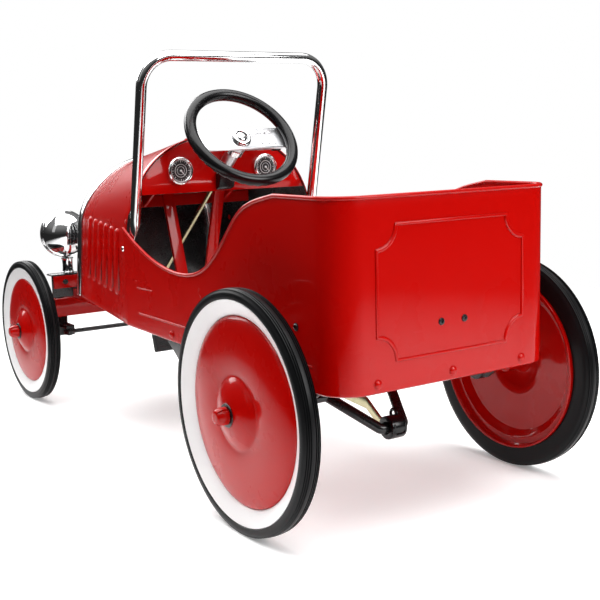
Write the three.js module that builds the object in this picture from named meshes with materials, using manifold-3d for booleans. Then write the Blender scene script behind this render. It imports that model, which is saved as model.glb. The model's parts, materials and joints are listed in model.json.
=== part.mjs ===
// A child's pedal car with a pressed steel tub, a tapered hood, disc wheels and a crank drive.
// Millimetres. +Z is up, the car faces -Y, +X is the car's left side.
// The origin is on the ground, under the middle of the car.
import * as THREE from 'three';
import { mergeVertices } from 'three/addons/utils/BufferGeometryUtils.js';
import Module from 'manifold-3d';

const wasm = await Module();
wasm.setup();

// Overall stance
const wheelbase = 719;
const tubHalfWidth = 149.5;
const kingpinX = 112;
const rearWheelRadius = 130;
const frontWheelRadius = 111;
const rearTyreFace = tubHalfWidth + 54.5;
const frontTyreFace = kingpinX + 60;
const overallLength = rearWheelRadius + wheelbase + frontWheelRadius;
const rearAxleY = overallLength / 2 - rearWheelRadius;
const frontAxleY = rearAxleY - wheelbase;

// Fits
const touchGap = 0.3;
const runningGap = 0.5;
const sheetGap = 1;

// Tub
const tubWall = 2;
const tubCornerRadius = 36;
const tubTailBehindAxle = 107;
const tubFrontAheadOfAxle = 372;
const tubRimZ = 353;
const tubSillZ = 250.5;
const tubBottomRearZ = 154;
const tubBottomFrontZ = 163;

// Hood and dash
const dashHalfWidth = tubHalfWidth - touchGap;
const dashSpringZ = 264;
const dashRise = 151;
const dashSquareness = 2.35;
const noseHalfWidth = tubHalfWidth - 36;
const noseSpringZ = 283.5;
const noseRise = 98;
const noseSquareness = 1.64;
const noseSideFlare = 0.074;
const noseBottomZ = 175;
const noseBehindFrontAxle = 120;
const hoodWall = 2;
const dashBehindTubFront = 11;
const dashLowerZ = 337;
const dashWall = 2;
const dashLip = 12;
const dashSetBack = 1;
const hoodNotchZ = 312;

// Radiator
const radiatorDepth = 13;
const radiatorBand = 9;
const radiatorStandOut = 1.5;
const grilleWall = 2;
const grilleSlots = 9;
const grilleSlotShare = 0.45;
const grilleMarginTop = 34;
const grilleMarginBottom = 14;

// Windscreen hoop
const hoopTube = 14;
const hoopTopZ = 521;
const hoopOuterHalfWidth = tubHalfWidth - 3.5;
const hoopCornerRadius = 47;
const hoopRake = 12 * Math.PI / 180;
const hoopBaseZ = 308;
const hoopBaseBehindTubFront = 19;
const hoopFootLength = 48;
const hoopFootWidth = 17;
const hoopFootThickness = 4;

// Steering
const columnTilt = 39.6 * Math.PI / 180;
const wheelHubZ = 410;
const wheelHubBehindTubFront = 64.3;
const steeringRimRadius = 73;
const steeringRimTube = 16;
const spokeHalfHeight = 17;
const spokePlate = 3;
const spokeDrop = 4;
const hubRadius = 13;
const hubDepth = 14;
const hornRadius = 8.5;
const hornHeight = 7;
const hornTravel = 3;
const columnRadius = 9.5;
const columnBore = 5.5;
const rodRadius = 3.2;
const crankReach = 40;
const crankPinRadius = 2.8;
const crankPinLength = 14;
const stalkRadius = 3.7;
const stalkReach = 58;
const stalkKnobRadius = 5.5;
const stalkKnobLength = 13;
const stalkCollarRadius = columnRadius + 3.5;
const stalkCollarHeight = 11;
const stalkDrop = 24;

// Front axle
const kingpinRadius = 9;
const knuckleRadius = 13;
const knuckleArmLength = 40;
const frontStubRadius = 6;
const beamHalfLength = kingpinX + 12;
const beamDepth = 38;
const beamWall = 2.5;
const beamBottomZ = 129;
const beamTopZ = 158;
const tieRodRadius = 4;
const tieRodZ = 107;
const tieEyeRadius = 9;
const tieEyeHeight = 8;
const tongueHalfWidth = 12;
const tonguePinGap = 5;
const supportBehindCrankTip = 14;
const supportHalfDepth = 8;
const supportBearingHalf = 12;

// Lamps
const lampBracketHalfLength = beamHalfLength + 8;
const lampBracketY = frontAxleY + 19;
const lampBracketDepth = 22;
const lampBracketBottomZ = 162;
const lampBracketTopZ = 199;
const lampX = 100;
const lampZ = 262;
const lampRadius = 38;
const lampWall = 2;
const lampPostRadius = 9.5;

// Rails under the body
const railWall = 2.5;
const railHeight = 16;
const railFlange = 16;
const railFrontX = 94;
const railNoseX = 98;
const railRearX = tubHalfWidth - 23.5;

// Rear drive
const axleRadius = 6;
const crankThrow = 54.7;
const crankDroop = 40 * Math.PI / 180;
const crankPinInner = 14;
const crankPinOuter = 46;
const crankStraightStart = 88;
const hangerX = tubHalfWidth - 15.5;
const hangerWall = 5;
const hangerBossRadius = 14;
const hangerBossWidth = 14;
const bigEndRadius = 13;
const bigEndWidth = 20;
const rodX = 29;
const rodStrip = 3;
const rodStripHeight = 13;
const rodJoggle = 17;

// Pedals
const pedalX = 44;
const pedalWidth = 17;
const pedalBar = 5;
const pedalPivotAheadOfDash = 88;
const pedalPivotZ = 342;
const pedalLength = 232;
const pedalRodReach = 150;
const pedalSwingAtRest = 17 * Math.PI / 180;
const pedalPivotRadius = 4;
const pedalHubRadius = 8;
const treadWidth = 52;
const treadDepth = 26;
const treadHeight = 12;
const pivotHalfSpan = 62;
const crossbarAheadOfPivot = 40;
const crossbarBelowPivot = 22;
const crossbarHalf = 8;
const lugWall = 4;

// Seat
const seatTopZ = 230;
const seatWall = 2;
const seatFlange = 20;
const seatLength = 250;
const seatNotchBesideRod = 16;

// Gauges
const gaugeX = 67;
const gaugeZ = 367;
const gaugeRadius = 19;
const gaugeDepth = 6;

// Places that follow from the sizes above
const tubTailY = rearAxleY + tubTailBehindAxle;
const tubFrontY = rearAxleY - tubFrontAheadOfAxle;
const dashY = tubFrontY + dashBehindTubFront;
const dashRearY = dashY - dashSetBack;
const noseY = frontAxleY + noseBehindFrontAxle;
const hoodLength = dashY - noseY;
const hubY = tubFrontY + wheelHubBehindTubFront;
const pedalPivotY = dashY - pedalPivotAheadOfDash;
const tieRodY = frontAxleY + knuckleArmLength;

const paint = { color: 0xb4150e, roughness: 0.22, metalness: 0 };
const chrome = { color: 0xd8dadc, roughness: 0.08, metalness: 1 };
const blackRubber = { color: 0x18181a, roughness: 0.6, metalness: 0 };
const blackSteel = { color: 0x141416, roughness: 0.35, metalness: 0.2 };
const blackPlastic = { color: 0x131315, roughness: 0.45, metalness: 0 };
const whiteEnamel = { color: 0xf2f1ee, roughness: 0.35, metalness: 0 };
const zincPlate = { color: 0xc2b98e, roughness: 0.35, metalness: 1 };
const lensGlass = { color: 0xe6ecee, roughness: 0.1, metalness: 0 };

const lerp = THREE.MathUtils.lerp;

// Solids: every piece passes through a boolean solid, so that it is closed and faces outwards.
function toSolid(geometry) {
  const bare = geometry.clone();
  bare.deleteAttribute('normal');
  bare.deleteAttribute('uv');
  const merged = mergeVertices(bare, 1e-3);
  const corners = merged.attributes.position;
  const kept = [];
  let volume = 0;
  const a = new THREE.Vector3();
  const b = new THREE.Vector3();
  const c = new THREE.Vector3();
  for (let i = 0; i < merged.index.count; i += 3) {
    const [p, q, r] = [0, 1, 2].map((k) => merged.index.getX(i + k));
    if (p === q || q === r || r === p) continue;
    kept.push(p, q, r);
    a.fromBufferAttribute(corners, p);
    b.fromBufferAttribute(corners, q);
    c.fromBufferAttribute(corners, r);
    volume += a.dot(b.cross(c));
  }
  if (volume < 0) kept.reverse();
  return new wasm.Manifold(new wasm.Mesh({
    numProp: 3,
    vertProperties: new Float32Array(corners.array),
    triVerts: new Uint32Array(kept),
  }));
}

function toGeometry(solid) {
  const mesh = solid.getMesh();
  const geometry = new THREE.BufferGeometry();
  geometry.setAttribute('position', new THREE.BufferAttribute(mesh.vertProperties, 3));
  geometry.setIndex(new THREE.BufferAttribute(mesh.triVerts, 1));
  geometry.computeVertexNormals();
  return geometry;
}

const car = new THREE.Group();

function addPiece(parent, name, solid, look) {
  const mesh = new THREE.Mesh(toGeometry(solid), new THREE.MeshStandardMaterial(look));
  mesh.name = name;
  parent.add(mesh);
  return mesh;
}

function groupAt(parent, x, y, z) {
  const group = new THREE.Group();
  group.position.set(x, y, z);
  parent.add(group);
  return group;
}

// A prism whose outline lies across one axis: outline pairs are (y, z), (x, z) or (x, y).
function prismAlong(axis, outline, low, high) {
  const pairs = axis === 'y' ? outline.map(([x, z]) => [z, x]) : outline;
  const shape = new THREE.Shape(pairs.map(([u, v]) => new THREE.Vector2(u, v)));
  const geometry = new THREE.ExtrudeGeometry(shape, { depth: high - low, bevelEnabled: false });
  geometry.translate(0, 0, low);
  const turn = new THREE.Matrix4();
  if (axis === 'x') turn.set(0, 0, 1, 0, 1, 0, 0, 0, 0, 1, 0, 0, 0, 0, 0, 1);
  if (axis === 'y') turn.set(0, 1, 0, 0, 0, 0, 1, 0, 1, 0, 0, 0, 0, 0, 0, 1);
  geometry.applyMatrix4(turn);
  return toSolid(geometry);
}

function block(x0, x1, y0, y1, z0, z1) {
  const geometry = new THREE.BoxGeometry(x1 - x0, y1 - y0, z1 - z0);
  geometry.translate((x0 + x1) / 2, (y0 + y1) / 2, (z0 + z1) / 2);
  return toSolid(geometry);
}

function roundBar(from, to, radius, sides = 16) {
  const start = new THREE.Vector3(...from);
  const end = new THREE.Vector3(...to);
  const along = end.clone().sub(start);
  const geometry = new THREE.CylinderGeometry(radius, radius, along.length(), sides);
  const turn = new THREE.Quaternion().setFromUnitVectors(new THREE.Vector3(0, 1, 0), along.normalize());
  geometry.applyQuaternion(turn);
  geometry.translate(...start.add(end).multiplyScalar(0.5));
  return toSolid(geometry);
}

// A solid of revolution about Y from (radius, height) pairs.
function turned(profile, sides, closed = false) {
  const points = profile.map(([r, h]) => new THREE.Vector2(r, h));
  if (closed) points.push(points[0].clone());
  return toSolid(new THREE.LatheGeometry(points, sides));
}

function sweptTube(path, radius, steps, sides = 10) {
  const section = new THREE.Shape();
  for (let i = 0; i <= sides; i += 1) {
    const turn = (i % sides) / sides * 2 * Math.PI;
    const method = i === 0 ? 'moveTo' : 'lineTo';
    section[method](radius * Math.cos(turn), radius * Math.sin(turn));
  }
  return toSolid(new THREE.ExtrudeGeometry(section, { steps, extrudePath: path, bevelEnabled: false }));
}

// Sheet metal: a flat box of rows and columns bent onto place(column, row, inset).
function bentSheet(columns, rows, wall, place) {
  const geometry = new THREE.BoxGeometry(1, 1, 1, columns, rows, 1);
  const corners = geometry.attributes.position;
  for (let i = 0; i < corners.count; i += 1) {
    const column = Math.round((corners.getX(i) + 0.5) * columns);
    const row = corners.getY(i) + 0.5;
    const inset = corners.getZ(i) > 0 ? 0 : wall;
    corners.setXYZ(i, ...place(column, row, inset));
  }
  return toSolid(geometry);
}

// Tub: the side's upper edge sweeps down from the front tip to the sill and up to the rim.
const doorway = new THREE.SplineCurve([
  [0, 0.444], [0.097, 0.268], [0.247, 0.083], [0.411, 0], [0.556, 0.068],
  [0.669, 0.317], [0.793, 0.746], [0.876, 0.902], [1, 1],
].map(([share, height]) => new THREE.Vector2(
  tubFrontY + share * tubFrontAheadOfAxle,
  lerp(tubSillZ, tubRimZ, height),
)));

function tubStations() {
  const stations = [];
  const doorwaySteps = 26;
  for (let i = 0; i <= doorwaySteps; i += 1) {
    const edge = doorway.getPoint(i / doorwaySteps);
    stations.push({ y: edge.x, turn: 0, topZ: Math.min(edge.y, tubRimZ) });
  }
  stations.push({ y: tubTailY - tubCornerRadius, turn: 0, topZ: tubRimZ });
  const cornerSteps = 6;
  for (let i = 1; i <= cornerSteps; i += 1) {
    stations.push({ y: tubTailY - tubCornerRadius, turn: i / cornerSteps * Math.PI / 2, topZ: tubRimZ });
  }
  return stations;
}

function tubBottomZ(y) {
  return THREE.MathUtils.mapLinear(y, tubFrontY, tubTailY, tubBottomFrontZ, tubBottomRearZ);
}

function makeTub() {
  const side = tubStations();
  const columns = side.length * 2 - 1;
  return bentSheet(columns, 2, tubWall, (column, row, inset) => {
    const left = column < side.length;
    const station = side[left ? column : columns - column];
    const radius = tubCornerRadius - inset;
    const centreX = tubHalfWidth - tubCornerRadius;
    const x = centreX + radius * Math.cos(station.turn);
    const y = station.y + radius * Math.sin(station.turn);
    const z = lerp(tubBottomZ(y), station.topZ, row);
    const mirrored = left ? x : -x;
    return [mirrored, y, z];
  });
}
addPiece(car, 'tub_shell', makeTub(), paint);

// Hood: arched sections blend from the square-shouldered dash to the narrower nose.
function archPoint(share, turn, inset) {
  const across = Math.cos(turn);
  const power = 2 / lerp(dashSquareness, noseSquareness, share);
  const halfWidth = lerp(dashHalfWidth, noseHalfWidth, share) - inset;
  const rise = lerp(dashRise, noseRise, share) - inset;
  const x = halfWidth * Math.sign(across) * Math.abs(across) ** power;
  const z = lerp(dashSpringZ, noseSpringZ, share) + rise * Math.sin(turn) ** power;
  return [x, z];
}

function archFoot(share, inset) {
  const drop = lerp(dashSpringZ, noseSpringZ, share) - lerp(tubBottomFrontZ, noseBottomZ, share);
  const halfWidth = lerp(dashHalfWidth, noseHalfWidth, share) - inset;
  return [halfWidth + noseSideFlare * share * drop, lerp(tubBottomFrontZ, noseBottomZ, share)];
}

function archOutline(share, inset, firstTurn, steps) {
  const outline = [];
  for (let i = 0; i <= steps; i += 1) {
    outline.push(archPoint(share, lerp(firstTurn, Math.PI - firstTurn, i / steps), inset));
  }
  return outline;
}

// Half-width of the hood's inside at a place, for what spans it.
function hoodInsideAt(y, z) {
  const share = (dashY - y) / hoodLength;
  const spring = lerp(dashSpringZ, noseSpringZ, share);
  const rise = lerp(dashRise, noseRise, share) - hoodWall;
  const power = lerp(dashSquareness, noseSquareness, share);
  const height = Math.max(0, (z - spring) / rise);
  const halfWidth = lerp(dashHalfWidth, noseHalfWidth, share) - hoodWall;
  return halfWidth * (1 - height ** power) ** (1 / power);
}

const archSteps = 22;

function makeHood() {
  const columns = archSteps + 2;
  return bentSheet(columns, 4, hoodWall, (column, row, inset) => {
    const turn = (column - 1) / archSteps * Math.PI;
    const isFoot = column === 0 || column === columns;
    const side = column === 0 ? 1 : -1;
    const rearPoint = isFoot ? archFoot(0, inset) : archPoint(0, turn, inset);
    const rearY = rearPoint[1] < hoodNotchZ ? tubFrontY - touchGap : dashY;
    const y = lerp(rearY, noseY, row);
    const share = (dashY - y) / hoodLength;
    const [x, z] = isFoot ? archFoot(share, inset) : archPoint(share, turn, inset);
    return [isFoot ? side * x : x, y, z];
  });
}
addPiece(car, 'hood_shell', makeHood(), paint);

// Steering frame: its own Z runs up the column to the driver, its own Y points down and back.
const steering = groupAt(car, 0, hubY, wheelHubZ);
steering.rotation.x = columnTilt - Math.PI / 2;
const columnUp = new THREE.Vector3(0, Math.cos(columnTilt), Math.sin(columnTilt));

function alongColumn(distance) {
  return [0, hubY + distance * columnUp.y, wheelHubZ + distance * columnUp.z];
}
const dashOnColumn = (dashY - hubY) / columnUp.y;

// The space the sleeve takes where it passes through the dash and its bracket.
function columnClearance() {
  return roundBar(alongColumn(dashOnColumn - 40), alongColumn(0), columnRadius + touchGap, 20);
}

function makeDash() {
  const inset = hoodWall + sheetGap;
  const squareness = dashSquareness / 2;
  const firstTurn = Math.asin(((dashLowerZ - dashSpringZ) / (dashRise - inset)) ** squareness);
  const share = dashSetBack / hoodLength;
  const outline = archOutline(share, inset, firstTurn, archSteps);
  const panel = prismAlong('y', outline, dashRearY - dashWall, dashRearY);
  const lipFrontY = dashRearY - dashLip;
  const lipHalfWidth = hoodInsideAt(lipFrontY, dashLowerZ + dashWall) - sheetGap;
  const lip = block(-lipHalfWidth, lipHalfWidth, lipFrontY, dashRearY - dashWall / 2,
    dashLowerZ, dashLowerZ + dashWall);
  return panel.add(lip).subtract(columnClearance());
}
addPiece(car, 'dash_panel', makeDash(), paint);

function noseOutline(inset) {
  const [footX, footZ] = archFoot(1, inset);
  return [[footX, footZ + Math.max(inset, 0)], ...archOutline(1, inset, 0, archSteps),
    [-footX, footZ + Math.max(inset, 0)]];
}

function makeRadiatorShell() {
  const rear = noseY - touchGap;
  const front = rear - radiatorDepth;
  const outer = prismAlong('y', noseOutline(-radiatorStandOut), front, rear);
  return outer.subtract(prismAlong('y', noseOutline(radiatorBand), front - 1, rear + 1));
}
addPiece(car, 'radiator_shell', makeRadiatorShell(), chrome);

function makeGrille() {
  const middle = noseY - touchGap - radiatorDepth / 2;
  const inset = radiatorBand + touchGap;
  let grille = prismAlong('y', noseOutline(inset), middle - grilleWall / 2, middle + grilleWall / 2);
  const pitch = 2 * (noseHalfWidth - radiatorBand) / (grilleSlots + 1);
  const slotWidth = pitch * grilleSlotShare;
  for (let i = 0; i < grilleSlots; i += 1) {
    const x = (i - (grilleSlots - 1) / 2) * pitch;
    const share = Math.abs(x) / noseHalfWidth;
    const top = noseSpringZ + noseRise * (1 - share ** noseSquareness) ** (1 / noseSquareness);
    const slot = block(x - slotWidth / 2, x + slotWidth / 2, middle - grilleWall, middle,
      noseBottomZ + radiatorBand + grilleMarginBottom, top - grilleMarginTop);
    grille = grille.subtract(slot);
  }
  return grille;
}
addPiece(car, 'radiator_grille', makeGrille(), blackSteel);

// Seat: a flat pan with a turned-down edge, inside the tub, notched where the rods rise.
const seatRearY = tubTailY - tubWall - touchGap;

function seatOutline(inset) {
  const halfWidth = tubHalfWidth - tubWall - touchGap - inset;
  const rear = seatRearY - inset;
  const front = seatRearY - seatLength + inset;
  const radius = tubCornerRadius - tubWall - inset;
  const outline = [[halfWidth, front]];
  const steps = 5;
  for (let i = 0; i <= steps; i += 1) {
    const turn = i / steps * Math.PI / 2;
    outline.push([halfWidth - radius + radius * Math.cos(turn), rear - radius + radius * Math.sin(turn)]);
  }
  return [...outline, ...outline.map(([x, y]) => [-x, y]).reverse()];
}

function makeSeatPan() {
  const front = seatRearY - seatLength;
  const lowZ = seatTopZ - seatFlange - 1;
  const pan = prismAlong('z', seatOutline(0), seatTopZ - seatFlange, seatTopZ);
  const hollow = prismAlong('z', seatOutline(seatWall), lowZ, seatTopZ - seatWall);
  const notchHalf = rodX + seatNotchBesideRod;
  const rodNotch = block(-notchHalf, notchHalf, front - 1, front + seatWall + 1, lowZ, seatTopZ - seatWall);
  return pan.subtract(hollow).subtract(rodNotch);
}
addPiece(car, 'seat_pan', makeSeatPan(), paint);

// Windscreen hoop: a bent tube whose flattened feet bolt inside the tub.
const hoopX = hoopOuterHalfWidth - hoopTube / 2;
const hoop = groupAt(car, 0, tubFrontY + hoopBaseBehindTubFront, hoopBaseZ);
hoop.rotation.x = -hoopRake;

function makeHoop() {
  const top = (hoopTopZ - hoopTube / 2 - hoopBaseZ) / Math.cos(hoopRake);
  const bend = hoopCornerRadius - hoopTube / 2;
  const pull = bend * 0.5523;
  const at = (x, z) => new THREE.Vector3(x, 0, z);
  const path = new THREE.CurvePath();
  path.add(new THREE.LineCurve3(at(hoopX, 0), at(hoopX, top - bend)));
  path.add(new THREE.CubicBezierCurve3(at(hoopX, top - bend), at(hoopX, top - bend + pull),
    at(hoopX - bend + pull, top), at(hoopX - bend, top)));
  path.add(new THREE.LineCurve3(at(hoopX - bend, top), at(bend - hoopX, top)));
  path.add(new THREE.CubicBezierCurve3(at(bend - hoopX, top), at(bend - hoopX - pull, top),
    at(-hoopX, top - bend + pull), at(-hoopX, top - bend)));
  path.add(new THREE.LineCurve3(at(-hoopX, top - bend), at(-hoopX, 0)));
  let solid = sweptTube(path, hoopTube / 2, 44, 10);
  const footOuter = tubHalfWidth - tubWall - touchGap;
  for (const side of [1, -1]) {
    const edges = [side * (footOuter - hoopFootThickness), side * footOuter].sort((a, b) => a - b);
    solid = solid.add(block(...edges, -hoopFootWidth / 2, hoopFootWidth / 2, -hoopFootLength, 6));
    const neck = [side * (hoopX - hoopTube / 4), side * (footOuter - 1)].sort((a, b) => a - b);
    solid = solid.add(block(...neck, -hoopTube / 3, hoopTube / 3, -3, 5));
  }
  return solid;
}
addPiece(hoop, 'windscreen_hoop', makeHoop(), chrome);

// Gauges on the dash, facing the driver.
for (const [name, side] of [['left_gauge', 1], ['right_gauge', -1]]) {
  const gauge = groupAt(car, side * gaugeX, dashRearY + touchGap, gaugeZ);
  const bezel = 3.5;
  addPiece(gauge, name, turned([
    [0, 0], [gaugeRadius - 1, 0], [gaugeRadius, 2], [gaugeRadius - 1, gaugeDepth],
    [gaugeRadius - bezel + 1, gaugeDepth], [gaugeRadius - bezel, gaugeDepth - 2], [0, gaugeDepth - 2],
  ], 24), chrome);
}

// Steering wheel, button, rod and column.
const rimSolid = toSolid(new THREE.TorusGeometry(steeringRimRadius, steeringRimTube / 2, 8, 32));
addPiece(steering, 'steering_wheel_rim', rimSolid, blackPlastic);

function makeSpokePlate() {
  const plateBottom = -spokeDrop - spokePlate;
  const arms = block(-steeringRimRadius, steeringRimRadius, -spokeHalfHeight, spokeHalfHeight,
    plateBottom, -spokeDrop);
  const hub = roundBar([0, 0, -spokeDrop - hubDepth], [0, 0, -spokeDrop + 2], hubRadius, 20);
  const hornWell = roundBar([0, 0, -spokeDrop - hornTravel], [0, 0, 10], hornRadius + runningGap, 20);
  const clearRim = toSolid(new THREE.TorusGeometry(steeringRimRadius, steeringRimTube / 2 + touchGap, 8, 32));
  const rodBore = roundBar([0, 0, -60], [0, 0, -spokeDrop - spokePlate - 1], rodRadius + touchGap, 16);
  return arms.add(hub).subtract(clearRim).subtract(hornWell).subtract(rodBore);
}
addPiece(steering, 'steering_spoke_plate', makeSpokePlate(), chrome);

const hornFloor = -spokeDrop - hornTravel;
const hornDome = turned([
  [0, 0], [hornRadius, 0], [hornRadius, hornHeight - 3], [hornRadius * 0.6, hornHeight - 0.8], [0, hornHeight],
], 20);
const hornMesh = addPiece(steering, 'horn_button', hornDome, chrome);
hornMesh.rotation.x = Math.PI / 2;
hornMesh.position.z = hornFloor + hornTravel + touchGap;

const columnTop = -spokeDrop - hubDepth - runningGap;
const columnSleeve = roundBar([0, 0, dashOnColumn - 30], [0, 0, columnTop], columnRadius, 20)
  .subtract(roundBar([0, 0, dashOnColumn - 40], [0, 0, 0], columnBore, 16));
addPiece(steering, 'column_sleeve', columnSleeve, chrome);

// The rod's lower crank tip meets the tongue of the tie rod.
const crankTipDrop = crankReach * columnUp.y;
const crankTipZ = tieRodZ + 10;
const rodEnd = (crankTipZ + crankTipDrop - wheelHubZ) / columnUp.z;
const crankTipY = hubY + rodEnd * columnUp.y + crankReach * columnUp.z;

function makeSteeringRod() {
  const shaft = roundBar([0, 0, rodEnd - rodRadius], [0, 0, -spokeDrop - spokePlate - 2], rodRadius, 12);
  const arm = roundBar([0, 0, rodEnd], [0, crankReach, rodEnd], rodRadius, 12);
  const tipTop = new THREE.Vector3(0, crankReach, rodEnd);
  const across = new THREE.Vector3(1, 0, 0);
  const down = new THREE.Vector3(0, 0, -1).applyAxisAngle(across, Math.PI / 2 - columnTilt);
  const tipLow = tipTop.clone().addScaledVector(down, crankPinLength);
  return shaft.add(arm).add(roundBar(tipTop.toArray(), tipLow.toArray(), crankPinRadius, 12));
}
addPiece(steering, 'steering_rod', makeSteeringRod(), zincPlate);

function makeStalk() {
  const low = -stalkDrop - stalkCollarHeight / 2;
  const high = low + stalkCollarHeight;
  const collar = roundBar([0, 0, low], [0, 0, high], stalkCollarRadius, 20);
  const bar = roundBar([0, 0, -stalkDrop], [-stalkReach, 0, -stalkDrop], stalkRadius, 12);
  const clearColumn = roundBar([0, 0, low - 1], [0, 0, high + 1], columnRadius + touchGap, 20);
  return collar.add(bar).subtract(clearColumn);
}
addPiece(steering, 'column_stalk', makeStalk(), chrome);
const knobStart = -stalkReach - touchGap;
addPiece(steering, 'stalk_knob', roundBar([knobStart, 0, -stalkDrop],
  [knobStart - stalkKnobLength, 0, -stalkDrop], stalkKnobRadius, 16), blackPlastic);

function makeColumnBracket() {
  const rear = dashRearY + touchGap;
  const halfWidth = columnRadius + 2.5;
  const height = 24;
  const outline = [[rear, dashLowerZ + 1], [rear + 9, dashLowerZ + 5], [rear + 16, dashLowerZ + height],
    [rear, dashLowerZ + height]];
  return prismAlong('x', outline, -halfWidth, halfWidth).subtract(columnClearance());
}
addPiece(car, 'column_bracket', makeColumnBracket(), blackPlastic);

// Rails: bent angle strips from the front beam to the tub.
const bendShare = 0.35;
const railRoute = [
  [railFrontX, frontAxleY - beamDepth / 2],
  [railNoseX, noseY],
  [railRearX, tubFrontY],
  [railRearX, tubFrontY + tubFrontAheadOfAxle * bendShare],
];

function railStrip(inner, outer, low, high, side) {
  const outline = [...railRoute.map(([x, y]) => [side * (x + inner), y]),
    ...railRoute.map(([x, y]) => [side * (x + outer), y]).reverse()];
  return prismAlong('z', outline, low, high);
}
const railTopZ = beamTopZ + touchGap + railWall;
for (const [name, side] of [['left_chassis_rail', 1], ['right_chassis_rail', -1]]) {
  const web = railStrip(0, railWall, railTopZ - railWall, railTopZ + railHeight - railWall, side);
  const flange = railStrip(-railFlange, railWall, railTopZ - railWall, railTopZ, side);
  const clearBracket = block(-lampBracketHalfLength, lampBracketHalfLength,
    lampBracketY - lampBracketDepth / 2 - touchGap, lampBracketY + lampBracketDepth / 2 + touchGap,
    lampBracketBottomZ - touchGap, lampBracketTopZ);
  addPiece(car, name, web.add(flange).subtract(clearBracket), paint);
}

// Front beam: a channel, open below, that carries the kingpins, the rails and the lamp bracket.
function makeBeam() {
  const half = beamDepth / 2;
  const outside = block(-beamHalfLength, beamHalfLength, frontAxleY - half, frontAxleY + half,
    beamBottomZ, beamTopZ);
  const inside = block(-beamHalfLength - 1, beamHalfLength + 1, frontAxleY - half + beamWall,
    frontAxleY + half - beamWall, beamBottomZ - 1, beamTopZ - beamWall);
  let beam = outside.subtract(inside);
  for (const side of [1, -1]) {
    beam = beam.subtract(roundBar([side * kingpinX, frontAxleY, beamTopZ - 10],
      [side * kingpinX, frontAxleY, beamTopZ + 1], kingpinRadius + touchGap, 20));
  }
  return beam;
}
addPiece(car, 'front_beam', makeBeam(), paint);

function makeLampBracket() {
  const half = lampBracketDepth / 2;
  const outside = block(-lampBracketHalfLength, lampBracketHalfLength, lampBracketY - half,
    lampBracketY + half, lampBracketBottomZ, lampBracketTopZ);
  const inside = block(-lampBracketHalfLength - 1, lampBracketHalfLength + 1, lampBracketY - half - 1,
    lampBracketY + half - beamWall, lampBracketBottomZ - 1, lampBracketTopZ - beamWall);
  return outside.subtract(inside);
}
addPiece(car, 'lamp_bracket', makeLampBracket(), blackSteel);

// Headlamps: chrome bowls with bulging lenses, on chrome posts.
const lampRimDepth = 14;
const lampOuter = [[0, 34], [13, 31.5], [25, 23], [33, 11], [lampRadius - 1, 0], [lampRadius, -5],
  [lampRadius, -lampRimDepth]];
for (const [word, side] of [['left', 1], ['right', -1]]) {
  const lamp = groupAt(car, side * lampX, lampBracketY, lampZ);
  const lampInner = lampOuter.map(([r, h]) => [Math.max(0, r - lampWall), h > 0 ? h * 0.93 : h]);
  addPiece(lamp, `${word}_headlamp_bowl`, turned([...lampOuter, ...lampInner.reverse()], 24), chrome);
  const lensRadius = lampRadius - lampWall - touchGap;
  const lens = [[0, -lampRimDepth + 3], [lensRadius, -lampRimDepth + 3], [lensRadius, -lampRimDepth],
    [lensRadius * 0.7, -lampRimDepth - 5], [0, -lampRimDepth - 8]];
  addPiece(lamp, `${word}_headlamp_lens`, turned(lens, 24), lensGlass);
  const post = roundBar([side * lampX, lampBracketY, lampBracketTopZ + touchGap],
    [side * lampX, lampBracketY, lampZ - lampRadius - touchGap], lampPostRadius, 20);
  addPiece(car, `${word}_lamp_post`, post, chrome);
}

// Steering support: a strap across the rails with a bearing block around the rod.
function makeSteeringSupport() {
  const strapLow = railTopZ + touchGap;
  const strapY = crankTipY + supportBehindCrankTip;
  const half = supportHalfDepth;
  const reach = railNoseX - touchGap;
  const rodAt = (y) => (y - hubY) / columnUp.y;
  const strap = block(-reach, reach, strapY - half, strapY + half, strapLow, strapLow + railWall);
  const rodZ = alongColumn(rodAt(strapY))[2];
  const bearing = block(-supportBearingHalf, supportBearingHalf, strapY - half, strapY + half,
    strapLow, rodZ + rodRadius + 5.5);
  const bore = roundBar(alongColumn(rodAt(strapY - 40)), alongColumn(rodAt(strapY + 60)),
    rodRadius + runningGap, 16);
  return strap.add(bearing).subtract(bore);
}
addPiece(car, 'steering_support', makeSteeringSupport(), blackSteel);

// Knuckles swing on the kingpins; their rear arms carry the tie rod.
const tiePinRadius = 4;
const armLowZ = tieRodZ + tieEyeHeight / 2 + 1;
for (const [word, side] of [['left', 1], ['right', -1]]) {
  const knuckle = groupAt(car, side * kingpinX, frontAxleY, 0);
  const bossTop = beamBottomZ - runningGap;
  const boss = roundBar([0, 0, tieRodZ - 10], [0, 0, bossTop], knuckleRadius, 20);
  const kingpin = roundBar([0, 0, bossTop - 1], [0, 0, beamTopZ + 5], kingpinRadius, 20);
  const stubEnd = frontTyreFace - kingpinX + 8;
  const stub = roundBar([0, 0, frontWheelRadius], [side * stubEnd, 0, frontWheelRadius], frontStubRadius, 16);
  const arm = block(-7, 7, 0, knuckleArmLength + 6, armLowZ, armLowZ + 6);
  const pin = roundBar([0, knuckleArmLength, tieRodZ - tieEyeHeight / 2 - 2],
    [0, knuckleArmLength, armLowZ + 2], tiePinRadius, 12);
  addPiece(knuckle, `${word}_knuckle`, boss.add(kingpin).add(stub).add(arm).add(pin), blackPlastic);
}

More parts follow.
